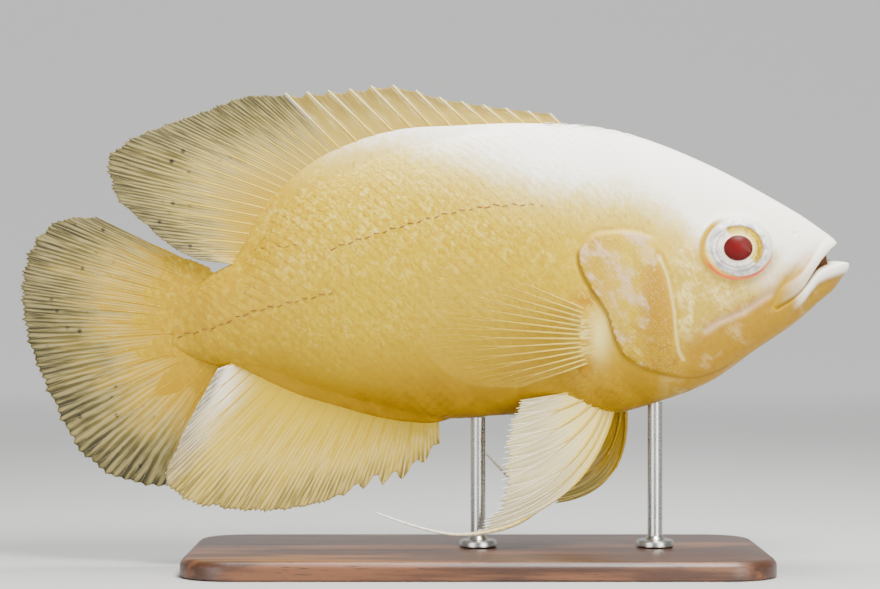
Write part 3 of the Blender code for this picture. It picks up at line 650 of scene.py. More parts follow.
def lay_face(paint, x, z, grains, white):
    """Pale cheeks with a yellow and pink net, an orange-gold chin, and the rim below the eye."""
    broad, cloud, patch, fleck, fine = grains
    face = x.rise(69.0, 80.0) * (1.0 - white)
    cheek = paint.mix((patch * 0.5 + cloud * 0.5).rise(0.4, 0.6) * 0.8, CREAM, PINK)
    cheek = paint.mix((cloud * 0.45 + patch * 0.3 + fleck * 0.25).rise(0.4, 0.58) * 0.85, cheek, LEMON)
    cheek = paint.mix(fine.rise(0.5, 0.7) * 0.2, cheek, MAUVE)
    paint.over(face * 0.95, cheek)
    chin = (1.0 - (z - (x - 80.0) * 0.62 + (broad - 0.5) * 7.0).rise(69.0, 80.0)) * x.rise(68.0, 82.0)
    chin_colour = paint.mix((cloud * 0.7 + patch * 0.3).rise(0.5, 0.62) * 0.7, GOLD, PINK)
    chin_colour = paint.mix((broad * 0.4 + patch * 0.6).rise(0.42, 0.58) * 0.9, chin_colour, ORANGE)
    paint.over(chin * 0.95, chin_colour)
    across, up = (x - EYE_PLACE[0]) / EYE_SEEN[0], (z - EYE_PLACE[1]) / EYE_SEEN[1]
    ring = (across * across + up * up) ** 0.5
    below_eye = (EYE_PLACE[1] - z + (x - EYE_PLACE[0]) * 0.15).rise(0.0, 5.0)
    behind_eye = (EYE_PLACE[0] - x).rise(3.0, 8.0) * (z - EYE_PLACE[1] + 8.0).rise(0.0, 3.0)
    warm = (1.0 - ring.rise(1.15, 1.75)) * below_eye * (z - 82.0).rise(0.0, 8.0)
    paint.over(warm * (0.25 + fleck * 0.8), YELLOW)
    paint.over(ring.near(1.13, 0.09, 1.6) * behind_eye, YELLOW)
    paint.over(ring.near(1.09, 0.08, 1.3) * below_eye * (0.75 + cloud * 0.4), ROSE)


def lay_cover(paint, x, z, grains):
    """The gill cover: mauve with yellow and orange clouds."""
    broad, cloud, patch, _, fine = grains
    plate = paint.mix((cloud * 0.5 + broad * 0.5).rise(0.42, 0.58), MAUVE, SAND)
    plate = paint.mix((patch * 0.4 + cloud * 0.6).rise(0.37, 0.6) * 0.85, plate, LEMON)
    before = x.rise(61.0, 69.0) * (100.0 - z).rise(0.0, 6.0)
    clouds = (cloud * 0.55 + patch * 0.45 + before * 0.14).rise(0.48, 0.58)
    plate = paint.mix(clouds * before, plate, ORANGE)
    behind = (1.0 - x.rise(52.0, 60.0)) * (cloud * 0.5 + patch * 0.5).rise(0.38, 0.54)
    plate = paint.mix(behind * 0.8, plate, YELLOW)
    plate = paint.mix((84.0 - z).rise(0.0, 14.0) * patch.rise(0.42, 0.56) * 0.8, plate, YELLOW)
    plate = paint.mix(fine.rise(0.52, 0.64) * 0.35, plate, PINK)
    paint.over(paint.mark("cover") * 0.95, plate)


def lay_lines(paint, x, z, grains):
    """The marks round the pectoral root, the lines of bone, cover and cheek, and the mouth, with painted
    shade along the cover's edge, in the cheek fold and inside the mouth.
    """
    _, _, patch, fleck, _ = grains
    paint.over(paint.mark("crease") * 0.7, GOLD)
    paint.over(paint.mark("pale_patch") * 0.9, CREAM)
    fringe = paint.noise(0.8, 2.0, stretch=(5.0, 1.0, 0.8), turn=(0.0, -0.15, 0.0))
    paint.over(paint.mark("lobe") * 0.9, paint.mix(fringe.rise(0.4, 0.6), CREAM, YELLOW))
    for height, size in ((63.4, 4.4), (85.0, 4.0)):
        beside = x.near(47.4, 5.6) * z.near(height, size)
        paint.over(beside * fleck.rise(0.3, 0.5) * 1.6, ORANGE)
    paint.over(paint.mark("bone_side") * patch.rise(0.36, 0.5) * 0.8, YELLOW)
    paint.over(paint.mark("bone") * 0.8, CREAM)
    # Deep gold along the gill cover's edge: partly its own orange line, partly painted shadow under the
    # flap's edge
    paint.over(paint.mark("cover_edge") * 0.8, DEEP_GOLD)
    # Mauve along the cheek fold: a painted shadow line in the groove, not a pigment
    paint.over(paint.mark("fold") * (0.3 + fleck * 0.8), MAUVE)
    paint.over(paint.mark("corner") * 0.85, YELLOW)
    paint.over(paint.mark("lips") * 0.95, WHITE)
    # Umber inside the open mouth: painted shade of its deep inside
    paint.over(paint.mark("mouth"), UMBER)


def fin_paint(name, inner, outer, streaks, count, streak=FIN_GREY, golden=None, flecks=0.0, clear=1.0,
              spread=0.46, corner=None):
    """A web painted from its fleshy root to its edge, with streaks that run along its rays; the dark
    streaks at the margin are partly the web's own dark dashes and partly painted shade, the dark of a
    background seen through the clear web.
    """
    paint = Paint(name, 0.5, Specular_IOR_Level=0.25)
    reach, between, share = paint.mark("reach"), paint.mark("between"), paint.mark("share")
    broad = paint.noise(11.0)
    fine = paint.noise(0.8)
    bands = paint.drawn_out(share, reach, count * 1.6, 1.6)
    lines = paint.drawn_out(share, reach, count * 7.0, 5.0)
    wander = (broad - 0.5) * 0.45 + (bands - 0.5) * 0.75
    paint.colour = paint.mix((reach + wander).rise(spread - 0.26, spread + 0.26), inner, outer)
    margin = (reach + wander * 0.7).rise(spread - 0.1, 0.95)
    dark = (lines * 0.75 + between * 0.25).rise(0.36, 0.62)
    paint.over((1.0 - dark) * reach.rise(0.1, 0.5) * 0.25, FIN_WHITE)
    if corner:
        rear = (share + wander * 0.25).rise(0.74, 1.0)
        paint.over(rear * reach.rise(0.0, 0.5) * 0.9, corner)
    # Dark margin streaks: partly the web's own dashes between rays, partly painted darkness standing for
    # a dark background seen through the clear web
    paint.over(margin * (0.35 + dark * 0.65) * streaks, streak)
    if golden:
        root = (1.0 - (reach + wander * 0.5).rise(0.1, 0.42)) * share.rise(0.1, 0.6)
        paint.over(root * (0.6 + between * 0.4), golden)
    if flecks:
        where = reach.rise(0.45, 0.6) * (1.0 - reach.rise(0.9, 0.98))
        paint.over(paint.spots(6.0, 1.1) * where * (0.5 + lines) * flecks, FLECK)
    paint.relief(fine * 0.4 - between * 0.5 + lines * 0.5, 0.2, 0.6)
    paint.feed(Base_Color=paint.colour, Roughness=0.44 + fine * 0.12)
    if clear < 1.0:
        paint.feed(Alpha=(1.0 - reach.rise(0.0, 0.2)) * 0.3 * (1.0 - clear) + clear * (0.6 + fine * 0.8))
    return paint.material


def ray_paint(name, root, tip, fading=False):
    """Rays: the root's colour fading to a pale tip, with faint joints."""
    paint = Paint(name, 0.45, Specular_IOR_Level=0.28)
    reach = paint.mark("reach")
    fine = paint.noise(1.3)
    joints = (reach * 190.0).sum("SINE").rise(0.3, 0.9)
    paint.colour = paint.mix((reach + (fine - 0.5) * 0.4).rise(0.35, 1.0), root, tip)
    paint.over(joints * 0.18 * reach, UMBER)
    paint.over(fine.rise(0.55, 0.7) * 0.25, CREAM)
    paint.relief(joints * -0.4 + fine, 0.08, 0.5)
    paint.feed(Base_Color=paint.colour, Roughness=0.34 + fine * 0.12)
    if fading:
        paint.feed(Alpha=0.95 - reach.rise(0.05, 0.9) * 0.8)
    return paint.material


def eye_paint():
    """The red pupil, cream and gold iris and silver ring of a lemon oscar's eye."""
    paint = Paint("eye_painted", 0.4, Specular_IOR_Level=0.2)
    ring, clock = paint.mark("ring"), paint.mark("clock")
    fine = paint.noise(0.9)
    swirl = paint.noise(2.4)
    edge = ring + (fine - 0.5) * 0.12
    silver = paint.mix(swirl.rise(0.36, 0.62), srgb(190, 188, 190), srgb(248, 247, 240))
    iris = paint.mix(swirl.rise(0.4, 0.6), srgb(214, 206, 206), srgb(250, 246, 230))
    iris = paint.mix(edge.near(0.68, 0.05) * (1.0 - clock) * 0.7, iris, srgb(150, 140, 142))
    gold = paint.mix(fine.rise(0.4, 0.6), srgb(196, 166, 0), srgb(160, 124, 0))
    gold = paint.mix(edge.near(0.58, 0.07) * 0.7, gold, srgb(238, 214, 110))
    iris = paint.mix((clock + (fine - 0.5) * 0.8).rise(0.3, 0.5), iris, gold)
    paint.colour = paint.mix(edge.rise(0.79, 0.83), iris, silver)
    paint.over(ring.near(0.81, 0.03) * 0.5, srgb(150, 150, 156))
    inner = ring.near(0.5, 0.05)
    paint.over(inner * 0.9, srgb(250, 236, 190))
    pupil = paint.mix(ring.rise(0.05, 0.46), srgb(100, 0, 0), srgb(84, 0, 0))
    paint.over(1.0 - ring.rise(0.445, 0.47), pupil)
    paint.over(ring.rise(0.97, 1.02), srgb(232, 226, 214))
    paint.relief(fine + swirl, 0.06, 0.4)
    return paint.feed(Base_Color=paint.colour, Roughness=0.36 + fine * 0.12)


def cornea_paint():
    """A clear dome: see-through, with a gloss that grows at its edge."""
    paint = Paint("eye_clear", 0.03, 1.0, Specular_IOR_Level=0.5, Base_Color=(1.0, 1.0, 1.0, 1.0))
    clear = add_node(paint.tree, "ShaderNodeBsdfTransparent")
    gloss = add_node(paint.tree, "ShaderNodeFresnel", None, {"IOR": 1.09})
    mixed = add_node(
        paint.tree, "ShaderNodeMixShader", None,
        [gloss.outputs[0], clear.outputs[0], paint.shader.outputs[0]],
    )
    paint.tree.links.new(mixed.outputs[0], paint.tree.nodes["Material Output"].inputs["Surface"])
    return paint.material


def walnut_paint():
    """Oiled walnut: long grain with darker figure and fine pores."""
    paint = Paint("walnut", 0.42, Coat_Weight=0.25, Coat_Roughness=0.3)
    flow = paint.noise(30.0, stretch=(4.0, 1.0, 1.0))
    bands = paint.noise(5.0, 4.0, stretch=(14.0, 1.0, 1.0))
    pores = paint.noise(0.5, 2.0, stretch=(12.0, 1.0, 1.0))
    figure = ((bands + flow * 1.3) * 9.0).sum("SINE").rise(-0.8, 0.9)
    paint.colour = paint.mix(figure, srgb(66, 38, 22), srgb(112, 70, 42))
    paint.over(pores.rise(0.58, 0.7) * 0.7, srgb(40, 22, 12))
    paint.relief(pores * -0.6 + bands * 0.4, 0.15, 0.5)
    return paint.feed(Base_Color=paint.colour, Roughness=0.34 + pores * 0.2)


def steel_paint():
    """Satin steel bar with fine turning marks."""
    paint = Paint("satin_steel", 0.26, 1.0)
    marks = paint.noise(0.35, 2.0, stretch=(10.0, 10.0, 0.6))
    cloud = paint.noise(9.0)
    paint.colour = paint.mix(cloud, srgb(176, 176, 172), srgb(206, 206, 204))
    paint.relief(marks, 0.03, 0.5)
    return paint.feed(Base_Color=paint.colour, Roughness=0.18 + marks * 0.16 + cloud * 0.06)





# Geometry Nodes


def node_group(name, inputs):
    """A Geometry Nodes tree with named inputs, and its input and output nodes."""
    tree = bpy.data.node_groups.new(name, "GeometryNodeTree")
    tree.interface.new_socket("Geometry", in_out="INPUT", socket_type="NodeSocketGeometry")
    for label, kind in inputs.items():
        tree.interface.new_socket(label, in_out="INPUT", socket_type=kind)
    tree.interface.new_socket("Geometry", in_out="OUTPUT", socket_type="NodeSocketGeometry")
    return tree, add_node(tree, "NodeGroupInput"), add_node(tree, "NodeGroupOutput")


def named(tree, name, kind):
    """A stored attribute inside a Geometry Nodes tree."""
    node = add_node(tree, "GeometryNodeInputNamedAttribute", {"data_type": kind}, {"Name": name})
    return node.outputs["Attribute"]


def finish_tree(tree, start, end, made):
    """The end of a tree: real geometry in the material that its input names."""
    finish = add_node(
        tree, "GeometryNodeSetMaterial", None,
        {"Geometry": made.outputs[0], "Material": start.outputs["Finish"]},
    )
    tree.links.new(finish.outputs[0], end.inputs[0])
    return tree


def scatter_tree():
    """Copies of a small shape on points, turned and sized by the points' own attributes."""
    tree, start, end = node_group("set_in_rows", {
        "Shape": "NodeSocketObject", "Finish": "NodeSocketMaterial",
        "Size Variation": "NodeSocketFloat", "Seed": "NodeSocketInt",
    })
    shape = add_node(tree, "GeometryNodeObjectInfo", None, {"Object": start.outputs["Shape"]})
    turned = add_node(tree, "FunctionNodeEulerToRotation", None, [named(tree, "turned", "FLOAT_VECTOR")])
    least = add_node(
        tree, "ShaderNodeMath", {"operation": "SUBTRACT"}, [1.0, start.outputs["Size Variation"]]
    )
    vary = add_node(
        tree, "FunctionNodeRandomValue", {"data_type": "FLOAT"},
        {"Min": least.outputs[0], "Max": 1.0, "Seed": start.outputs["Seed"]},
    )
    sized = add_node(
        tree, "ShaderNodeVectorMath", {"operation": "SCALE"},
        {0: named(tree, "sized", "FLOAT_VECTOR"), "Scale": vary.outputs["Value"]},
    )
    copies = add_node(tree, "GeometryNodeInstanceOnPoints", None, {
        "Points": start.outputs["Geometry"], "Instance": shape.outputs["Geometry"],
        "Rotation": turned.outputs[0], "Scale": sized.outputs[0],
    })
    real = add_node(tree, "GeometryNodeRealizeInstances", None, [copies.outputs[0]])
    return finish_tree(tree, start, end, real)


def ray_tree():
    """Tapering rods along edges, with the radius that each point stores."""
    tree, start, end = node_group("rays_along_paths", {
        "Sides": "NodeSocketInt", "Finish": "NodeSocketMaterial",
    })
    curve = add_node(tree, "GeometryNodeMeshToCurve", None, [start.outputs["Geometry"]])
    radius = add_node(
        tree, "GeometryNodeSetCurveRadius", None,
        {"Curve": curve.outputs[0], "Radius": named(tree, "girth", "FLOAT")},
    )
    ring = add_node(
        tree, "GeometryNodeCurvePrimitiveCircle", None,
        {"Resolution": start.outputs["Sides"], "Radius": 1.0},
    )
    rod = add_node(
        tree, "GeometryNodeCurveToMesh", None,
        {"Curve": radius.outputs[0], "Profile Curve": ring.outputs[0], "Fill Caps": True,
         "Scale": named(tree, "girth", "FLOAT")},
    )
    real = add_node(tree, "GeometryNodeRealizeInstances", None, [rod.outputs[0]])
    smooth = add_node(tree, "GeometryNodeSetShadeSmooth", None, [real.outputs[0]])
    return finish_tree(tree, start, end, smooth)


def grow(name, base, tree, **inputs):
    """Run a tree on a base object and keep the result as a plain mesh."""
    step = base.modifiers.new(tree.name, "NODES")
    step.node_group = tree
    labels = {item.name: item.identifier for item in tree.interface.items_tree if item.in_out == "INPUT"}
    for label, value in inputs.items():
        step[labels[label.replace("_", " ")]] = value
    bpy.context.view_layer.update()
    shaped = base.evaluated_get(bpy.context.evaluated_depsgraph_get())
    mesh = bpy.data.meshes.new_from_object(shaped)
    base.modifiers.remove(step)
    bpy.data.objects.remove(base, do_unlink=True)
    mesh.name = name
    return linked(name, mesh)


def base_points(name, points, edges, vectors, numbers):
    """A mesh of points, loose or joined by edges, with vector and number attributes."""
    mesh = bpy.data.meshes.new(name)
    mesh.from_pydata((np.asarray(points) * MM).tolist(), edges, [])
    store(mesh, vectors, "FLOAT_VECTOR")
    store(mesh, numbers)
    return linked(name, mesh)


# Scales

SCALE_PITCH = 3.6
FACE_PITCH = 0.42
SCALE_SIZE = (1.42, 1.16)
NAPE_EDGE = (75.0, 106.0, 0.25)
WIDEST = 120
PATCH_SIZE = 0.003


def scale_shape():
    """One scale, a unit long towards its free edge: a closed thin plate, fan-shaped, its root low."""
    turns = [math.radians(a) for a in (0, 25, 50, 78, 122, 160, 200, 238, 282, 310, 335)]
    outline = []
    for turn in turns:
        narrow = 0.7 if math.cos(turn) < -0.7 else 1.0
        outline.append((0.5 + 0.5 * math.cos(turn), 0.5 * math.sin(turn) * narrow))
    sides = len(outline)
    verts = [(0.55, 0.0, 0.62)]
    for share, drop, crown in ((0.78, 0.04, 0.5), (1.0, 0.22, 0.5), (1.0, 0.9, 0.0)):
        for x, y in outline:
            x, y = 0.55 + (x - 0.55) * share, y * share
            verts.append((x, y, 0.62 + 1.1 * (x - 0.55) - drop - crown * y * y))
    faces = []
    for side in range(sides):
        after = (side + 1) % sides
        faces.append((0, 1 + side, 1 + after))
        for a in (1, 1 + sides):
            faces.append((a + side, a + side + sides, a + after + sides, a + after))
    faces.append(tuple(range(3 * sides, 2 * sides, -1)))
    shape = make_mesh("one_scale", np.array(verts) / MM, faces)
    for edge in shape.data.edges:
        edge.use_edge_sharp = min(edge.vertices) > sides
    store(shape.data, {"patch": np.ravel([(x, y, 0.0) for x, y, _ in verts])}, "FLOAT_VECTOR")
    return shape


def turn_to(tail, normal):
    """The Euler turn that lays a shape's X along tail and its Z along normal."""
    turns = []
    for up, along in zip(map(Vector, normal), map(Vector, tail)):
        along = (along - up * along.dot(up)).normalized()
        turns.append(Matrix((along, up.cross(along), up)).transposed().to_euler())
    return turns


def girth_table(places):
    """Distances along the skin from its widest line, up and down, for places along X."""
    turns = np.linspace(0.02, math.pi - 0.02, 2 * WIDEST)
    x, turn = np.meshgrid(places, turns, indexing="ij")
    points = skin_point(x, turn)
    steps = np.linalg.norm(np.diff(points, axis=1), axis=2)
    length = np.concatenate([np.zeros((len(places), 1)), np.cumsum(steps, axis=1)], axis=1)
    return turns, length - length[:, [WIDEST]]


def scale_beds(start, end, pitch, shrink):
    """Where scales root: staggered columns whose rows keep their spacing along the fish."""
    spots, places = [], [start]
    while places[-1] < end:
        places.append(places[-1] + pitch * float(shrink(places[-1])) / 2)
    places.pop()
    turns, lengths = girth_table(np.array(places))
    for column, x in enumerate(places):
        size = float(shrink(x))
        gap = pitch * size * 1.06
        first = int(lengths[column, 0] / gap) - 1
        for row in range(first, -first + 60):
            along = (row + 0.5 * (column % 2)) * gap
            if lengths[column, 0] < along < lengths[column, -1]:
                spots.append((x, float(np.interp(along, lengths[column], turns)), size))
    return np.array(spots)


def body_beds():
    """Scale beds of trunk and nape, with how thick their scales are."""
    spots = scale_beds(-82.0, 84.0, SCALE_PITCH, lambda x: 0.62 + 0.38 * soft(x, -84.0, -40.0)
                       - 0.3 * soft(x, 40.0, 80.0))
    x, turn = spots[:, 0], spots[:, 1]
    z = section(x)[0] + section(x)[1] * np.cos(turn)
    front = NAPE_EDGE[0] - (z - NAPE_EDGE[1]) * NAPE_EDGE[2]
    off_cover = -inside(COVER_OUTLINE, x, z)
    keep = (off_cover > 3.1) & ~((x > 58.0) & (z > 60.0) & (z < 102.0)) & (x < front)
    chance = np.random.default_rng(3).random(len(x))
    keep &= chance > soft(x, front - 8.0, front + 1.0)
    keep &= np.hypot((x - 50.0) / 6.0, (z - 73.5) / 10.5) > 1.0
    y = skin_point(x, turn)[:, 1]
    keep &= (y > 2.4) | (x > 40.0)
    thick = 0.24 * (1 - 0.75 * soft(x, front - 20.0, front)) * (0.6 + 0.4 * soft(-x, 84.0, 60.0))
    thick = thick * (0.35 + 0.65 * soft(off_cover, 1.0, 9.0)) * (0.4 + 0.6 * soft(y, 2.0, 9.0))
    return spots[keep], thick[keep]


def face_beds():
    """Scale beds of gill cover, cheek and throat: small and thin."""
    spots = scale_beds(44.0, 108.0, SCALE_PITCH * FACE_PITCH, lambda x: 1.0 - 0.2 * soft(x, 60.0, 100.0))
    x, turn = spots[:, 0], spots[:, 1]
    z = section(x)[0] + section(x)[1] * np.cos(turn)
    cover = inside(COVER_OUTLINE, x, z)
    cheek = (x > 72.0) & (z < 96.0) & (z > 62.0 + 0.62 * (x - 80.0))
    cheek &= (oval(x, z, EYE_PLACE, EYE_SEEN) > 1.3) & (off_line(LIP_FOLD, x, z) > 2.0)
    cheek &= x + 0.4 * z < 137.0
    keep = (cover > 1.8) | (cheek & (cover < -1.6) & (off_line(PREOPERCLE, x, z) > 2.2))
    keep &= off_line(CHEEK_FOLD, x, z) > 1.0
    thick = np.where(cover > 0, 0.1, 0.06)
    spots[:, 2] *= FACE_PITCH
    return spots[keep], thick[keep]


def body_scales(shape, tree, finish):
    """Solid scales over trunk, nape, cheeks and gill covers, one piece for each side and size."""
    rng = np.random.default_rng(7)
    for area, (spots, thick) in (("body", body_beds()), ("face", face_beds())):
        size = spots[:, 2]
        for side, word in SIDES:
            x = spots[:, 0] + rng.normal(0.0, 0.08, len(spots)) * size
            turn = side * (spots[:, 1] + rng.normal(0.0, 0.003, len(spots)))
            point, normal, tail = skin_frame(x, turn)
            bed = np.stack([(x - TAIL_END) / BODY_LENGTH, (turn / (2 * math.pi)) % 1.0, x * 0.0], axis=1)
            set_scales(area + "_scales_" + word, shape, tree, finish, rng,
                       (point - normal * (thick * 0.35)[:, None], normal, tail, size, thick, bed))


def set_scales(name, shape, tree, finish, rng, beds):
    """One piece of solid scales on beds of points, normals, tail directions, sizes and depths."""
    point, normal, tail, size, thick, bed = beds
    long, wide = (size * SCALE_PITCH * share for share in SCALE_SIZE)
    sized = np.stack([long, wide, thick], axis=1) * MM
    vectors = {"turned": turn_to(tail, normal), "sized": sized, "bed": bed}
    base = base_points("scale_beds", point, [], vectors, {"tint": rng.random(len(point))})
    scales = grow(name, base, tree, Shape=shape, Finish=finish, Size_Variation=0.08, Seed=5)
    places = points_of(scales)
    store(scales.data, colour_marks(places[:, 0], places[:, 2]))
    bake_map(scales)
    scales.data.shade_smooth()
    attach(scales, "root")


def fin_scales(fin, shape, tree, finish, rng, reach, pitch):
    """The small scales that run out over a fin's root, on both its sides."""
    beds = []
    columns = 60
    for side in (-1, 1):
        v, row = 0.04, 0
        while True:
            share = (np.arange(columns) + 0.5 * (row % 2)) / columns
            share = share[(v < reach(share)) & (share < 1.0)]
            if not len(share):
                break
            out = np.full(len(share), v)
            tail = fin.point(share, out + 0.01) - fin.point(share, out - 0.01)
            ahead, behind = np.minimum(share + 0.01, 1.0), np.maximum(share - 0.01, 0.0)
            normal = np.cross(tail, fin.point(ahead, out) - fin.point(behind, out))
            normal *= (side * np.sign(normal[:, 1]) / np.linalg.norm(normal, axis=1))[:, None]
            fade = np.clip((reach(share) - v) / reach(share) * 2.2, 0.3, 1.0)
            beds.append((
                fin.point(share, out) + normal * (0.1 + 0.1 * fade)[:, None], normal,
                tail / np.linalg.norm(tail, axis=1)[:, None], (0.7 + 0.3 * fade) * pitch / SCALE_PITCH,
                0.18 * fade, np.stack([share, out, share * 0.0], axis=1),
            ))
            span = np.linalg.norm(fin.edge(share) - fin.root(share), axis=1)
            v += 0.62 * pitch / float(np.mean(span))
            row += 1
    joined = [np.concatenate(column) for column in zip(*beds)]
    set_scales(fin.node + "_scales", shape, tree, finish, rng, joined)


def bake_map(thing):
    """A UV map with each scale as a small patch at its root's place on the skin's unwrap."""
    mesh = thing.data
    count = len(mesh.vertices)
    bed, patch = np.empty(count * 3, np.float32), np.empty(count * 3, np.float32)
    mesh.attributes["bed"].data.foreach_get("vector", bed)
    mesh.attributes["patch"].data.foreach_get("vector", patch)
    store(mesh, {"rim": soft(patch.reshape(-1, 3)[:, 0], 0.6, 1.0)})
    spot = bed.reshape(-1, 3)[:, :2] + patch.reshape(-1, 3)[:, :2] * PATCH_SIZE
    corners = np.empty(len(mesh.loops), np.int32)
    mesh.loops.foreach_get("vertex_index", corners)
    layer = mesh.uv_layers.new(name="OFBake")
    layer.data.foreach_set("uv", spot[corners].ravel())


TUBE_PITCH = 2.7
TUBE_LIFT = 0.24
TUBE_SIZE = (2.3, 0.4, 0.4)


def tube_shape():
    """One tube of the lateral line, a unit long and tapered at both ends."""
    verts = []
    for x, radius in ((0.0, 0.1), (0.2, 0.5), (0.8, 0.42), (1.0, 0.2)):
        verts += [(x, radius * math.cos(t), radius * math.sin(t)) for t in np.arange(6) * math.pi / 3]
    faces = grid_faces(4, 6, wrap=True) + [tuple(range(5, -1, -1)), tuple(range(18, 24))]
    return make_mesh("one_tube", np.array(verts) / MM, faces)


def lateral_line(tree):
    """The row of small tubes that a fish feels the water with, in two runs a side."""
    tube = tube_shape()
    paint = Paint("line_brown", 0.45)
    brown = paint.mix(paint.noise(1.2, 2.0), srgb(150, 92, 44), srgb(108, 62, 36))
    finish = paint.feed(Base_Color=brown)
    for side, word in SIDES:
        beds = []
        for line in (LATERAL_UPPER, LATERAL_SHORT, LATERAL_LOWER):
            level = sorted(line)
            x = np.arange(level[0][0], level[-1][0], TUBE_PITCH)
            z = graph(level, x)
            middle, half, _ = section(x)
            turn = side * np.arccos(np.clip((z - middle) / half, -1.0, 1.0))
            point, normal, _ = skin_frame(x, turn)
            bend = 0.3 * np.where(np.arange(len(x)) % 2, 1.0, -0.5)
            way = unit(np.stack([-np.ones_like(x), np.zeros_like(x), -np.gradient(z, x) + bend], axis=1))
            size = 1.0 - 0.7 * soft(x, 27.0, 38.0) - 0.3 * soft(z, 98.0, 102.0) * (x < -40.0)
            beds.append((point + normal * TUBE_LIFT, way, normal, size[:, None] * TUBE_SIZE * MM))
        points, ways, normals, sized = (np.vstack(column) for column in zip(*beds))
        vectors = {"turned": turn_to(ways, normals), "sized": sized}
        base = base_points("line_beds", points, [], vectors, {})
        made = grow("lateral_line_" + word, base, tree, Shape=tube, Finish=finish,
                    Size_Variation=0.3, Seed=3)
        made.data.shade_smooth()
        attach(made, "root")
    bpy.data.objects.remove(tube, do_unlink=True)


# Fins


def rows_at(points, share):
    """Each column of a table read at shares along it: its first column holds the shares."""
    table = np.array(points, float)
    return [graph(table[:, [0, k]], share) for k in range(1, table.shape[1])]


def flat(points):
    """A point in the middle plane for shares along a fin's edge."""

    def place(share):
        x, z = rows_at(points, share)
        return np.stack([x, np.zeros_like(x), z], axis=-1)

    return place


def ridge(start, end, profile, sink):
    """A point sunk in the back or belly for shares along a fin's base."""

    def place(share):
        x = start + (end - start) * share
        return np.stack([x, np.zeros_like(x), graph(profile, x) + sink], axis=-1)

    return place


def off_flank(points, side, out):
    """A point off the flank for shares along a pectoral fin's base or edge."""

    def place(share):
        x, z = rows_at(points, share)
        middle, half, _ = section(x)
        turn = np.arccos(np.clip((z - middle) / half, -1.0, 1.0))
        y = np.abs(skin_point(x, turn)[..., 1])
        return np.stack([x, side * (y + out), z], axis=-1)

    return place


def sided(points, side):
    """A point for shares along a pelvic fin's base or edge."""

    def place(share):
        x, y, z = rows_at(points, share)
        return np.stack([x, side * y, z], axis=-1)

    return place


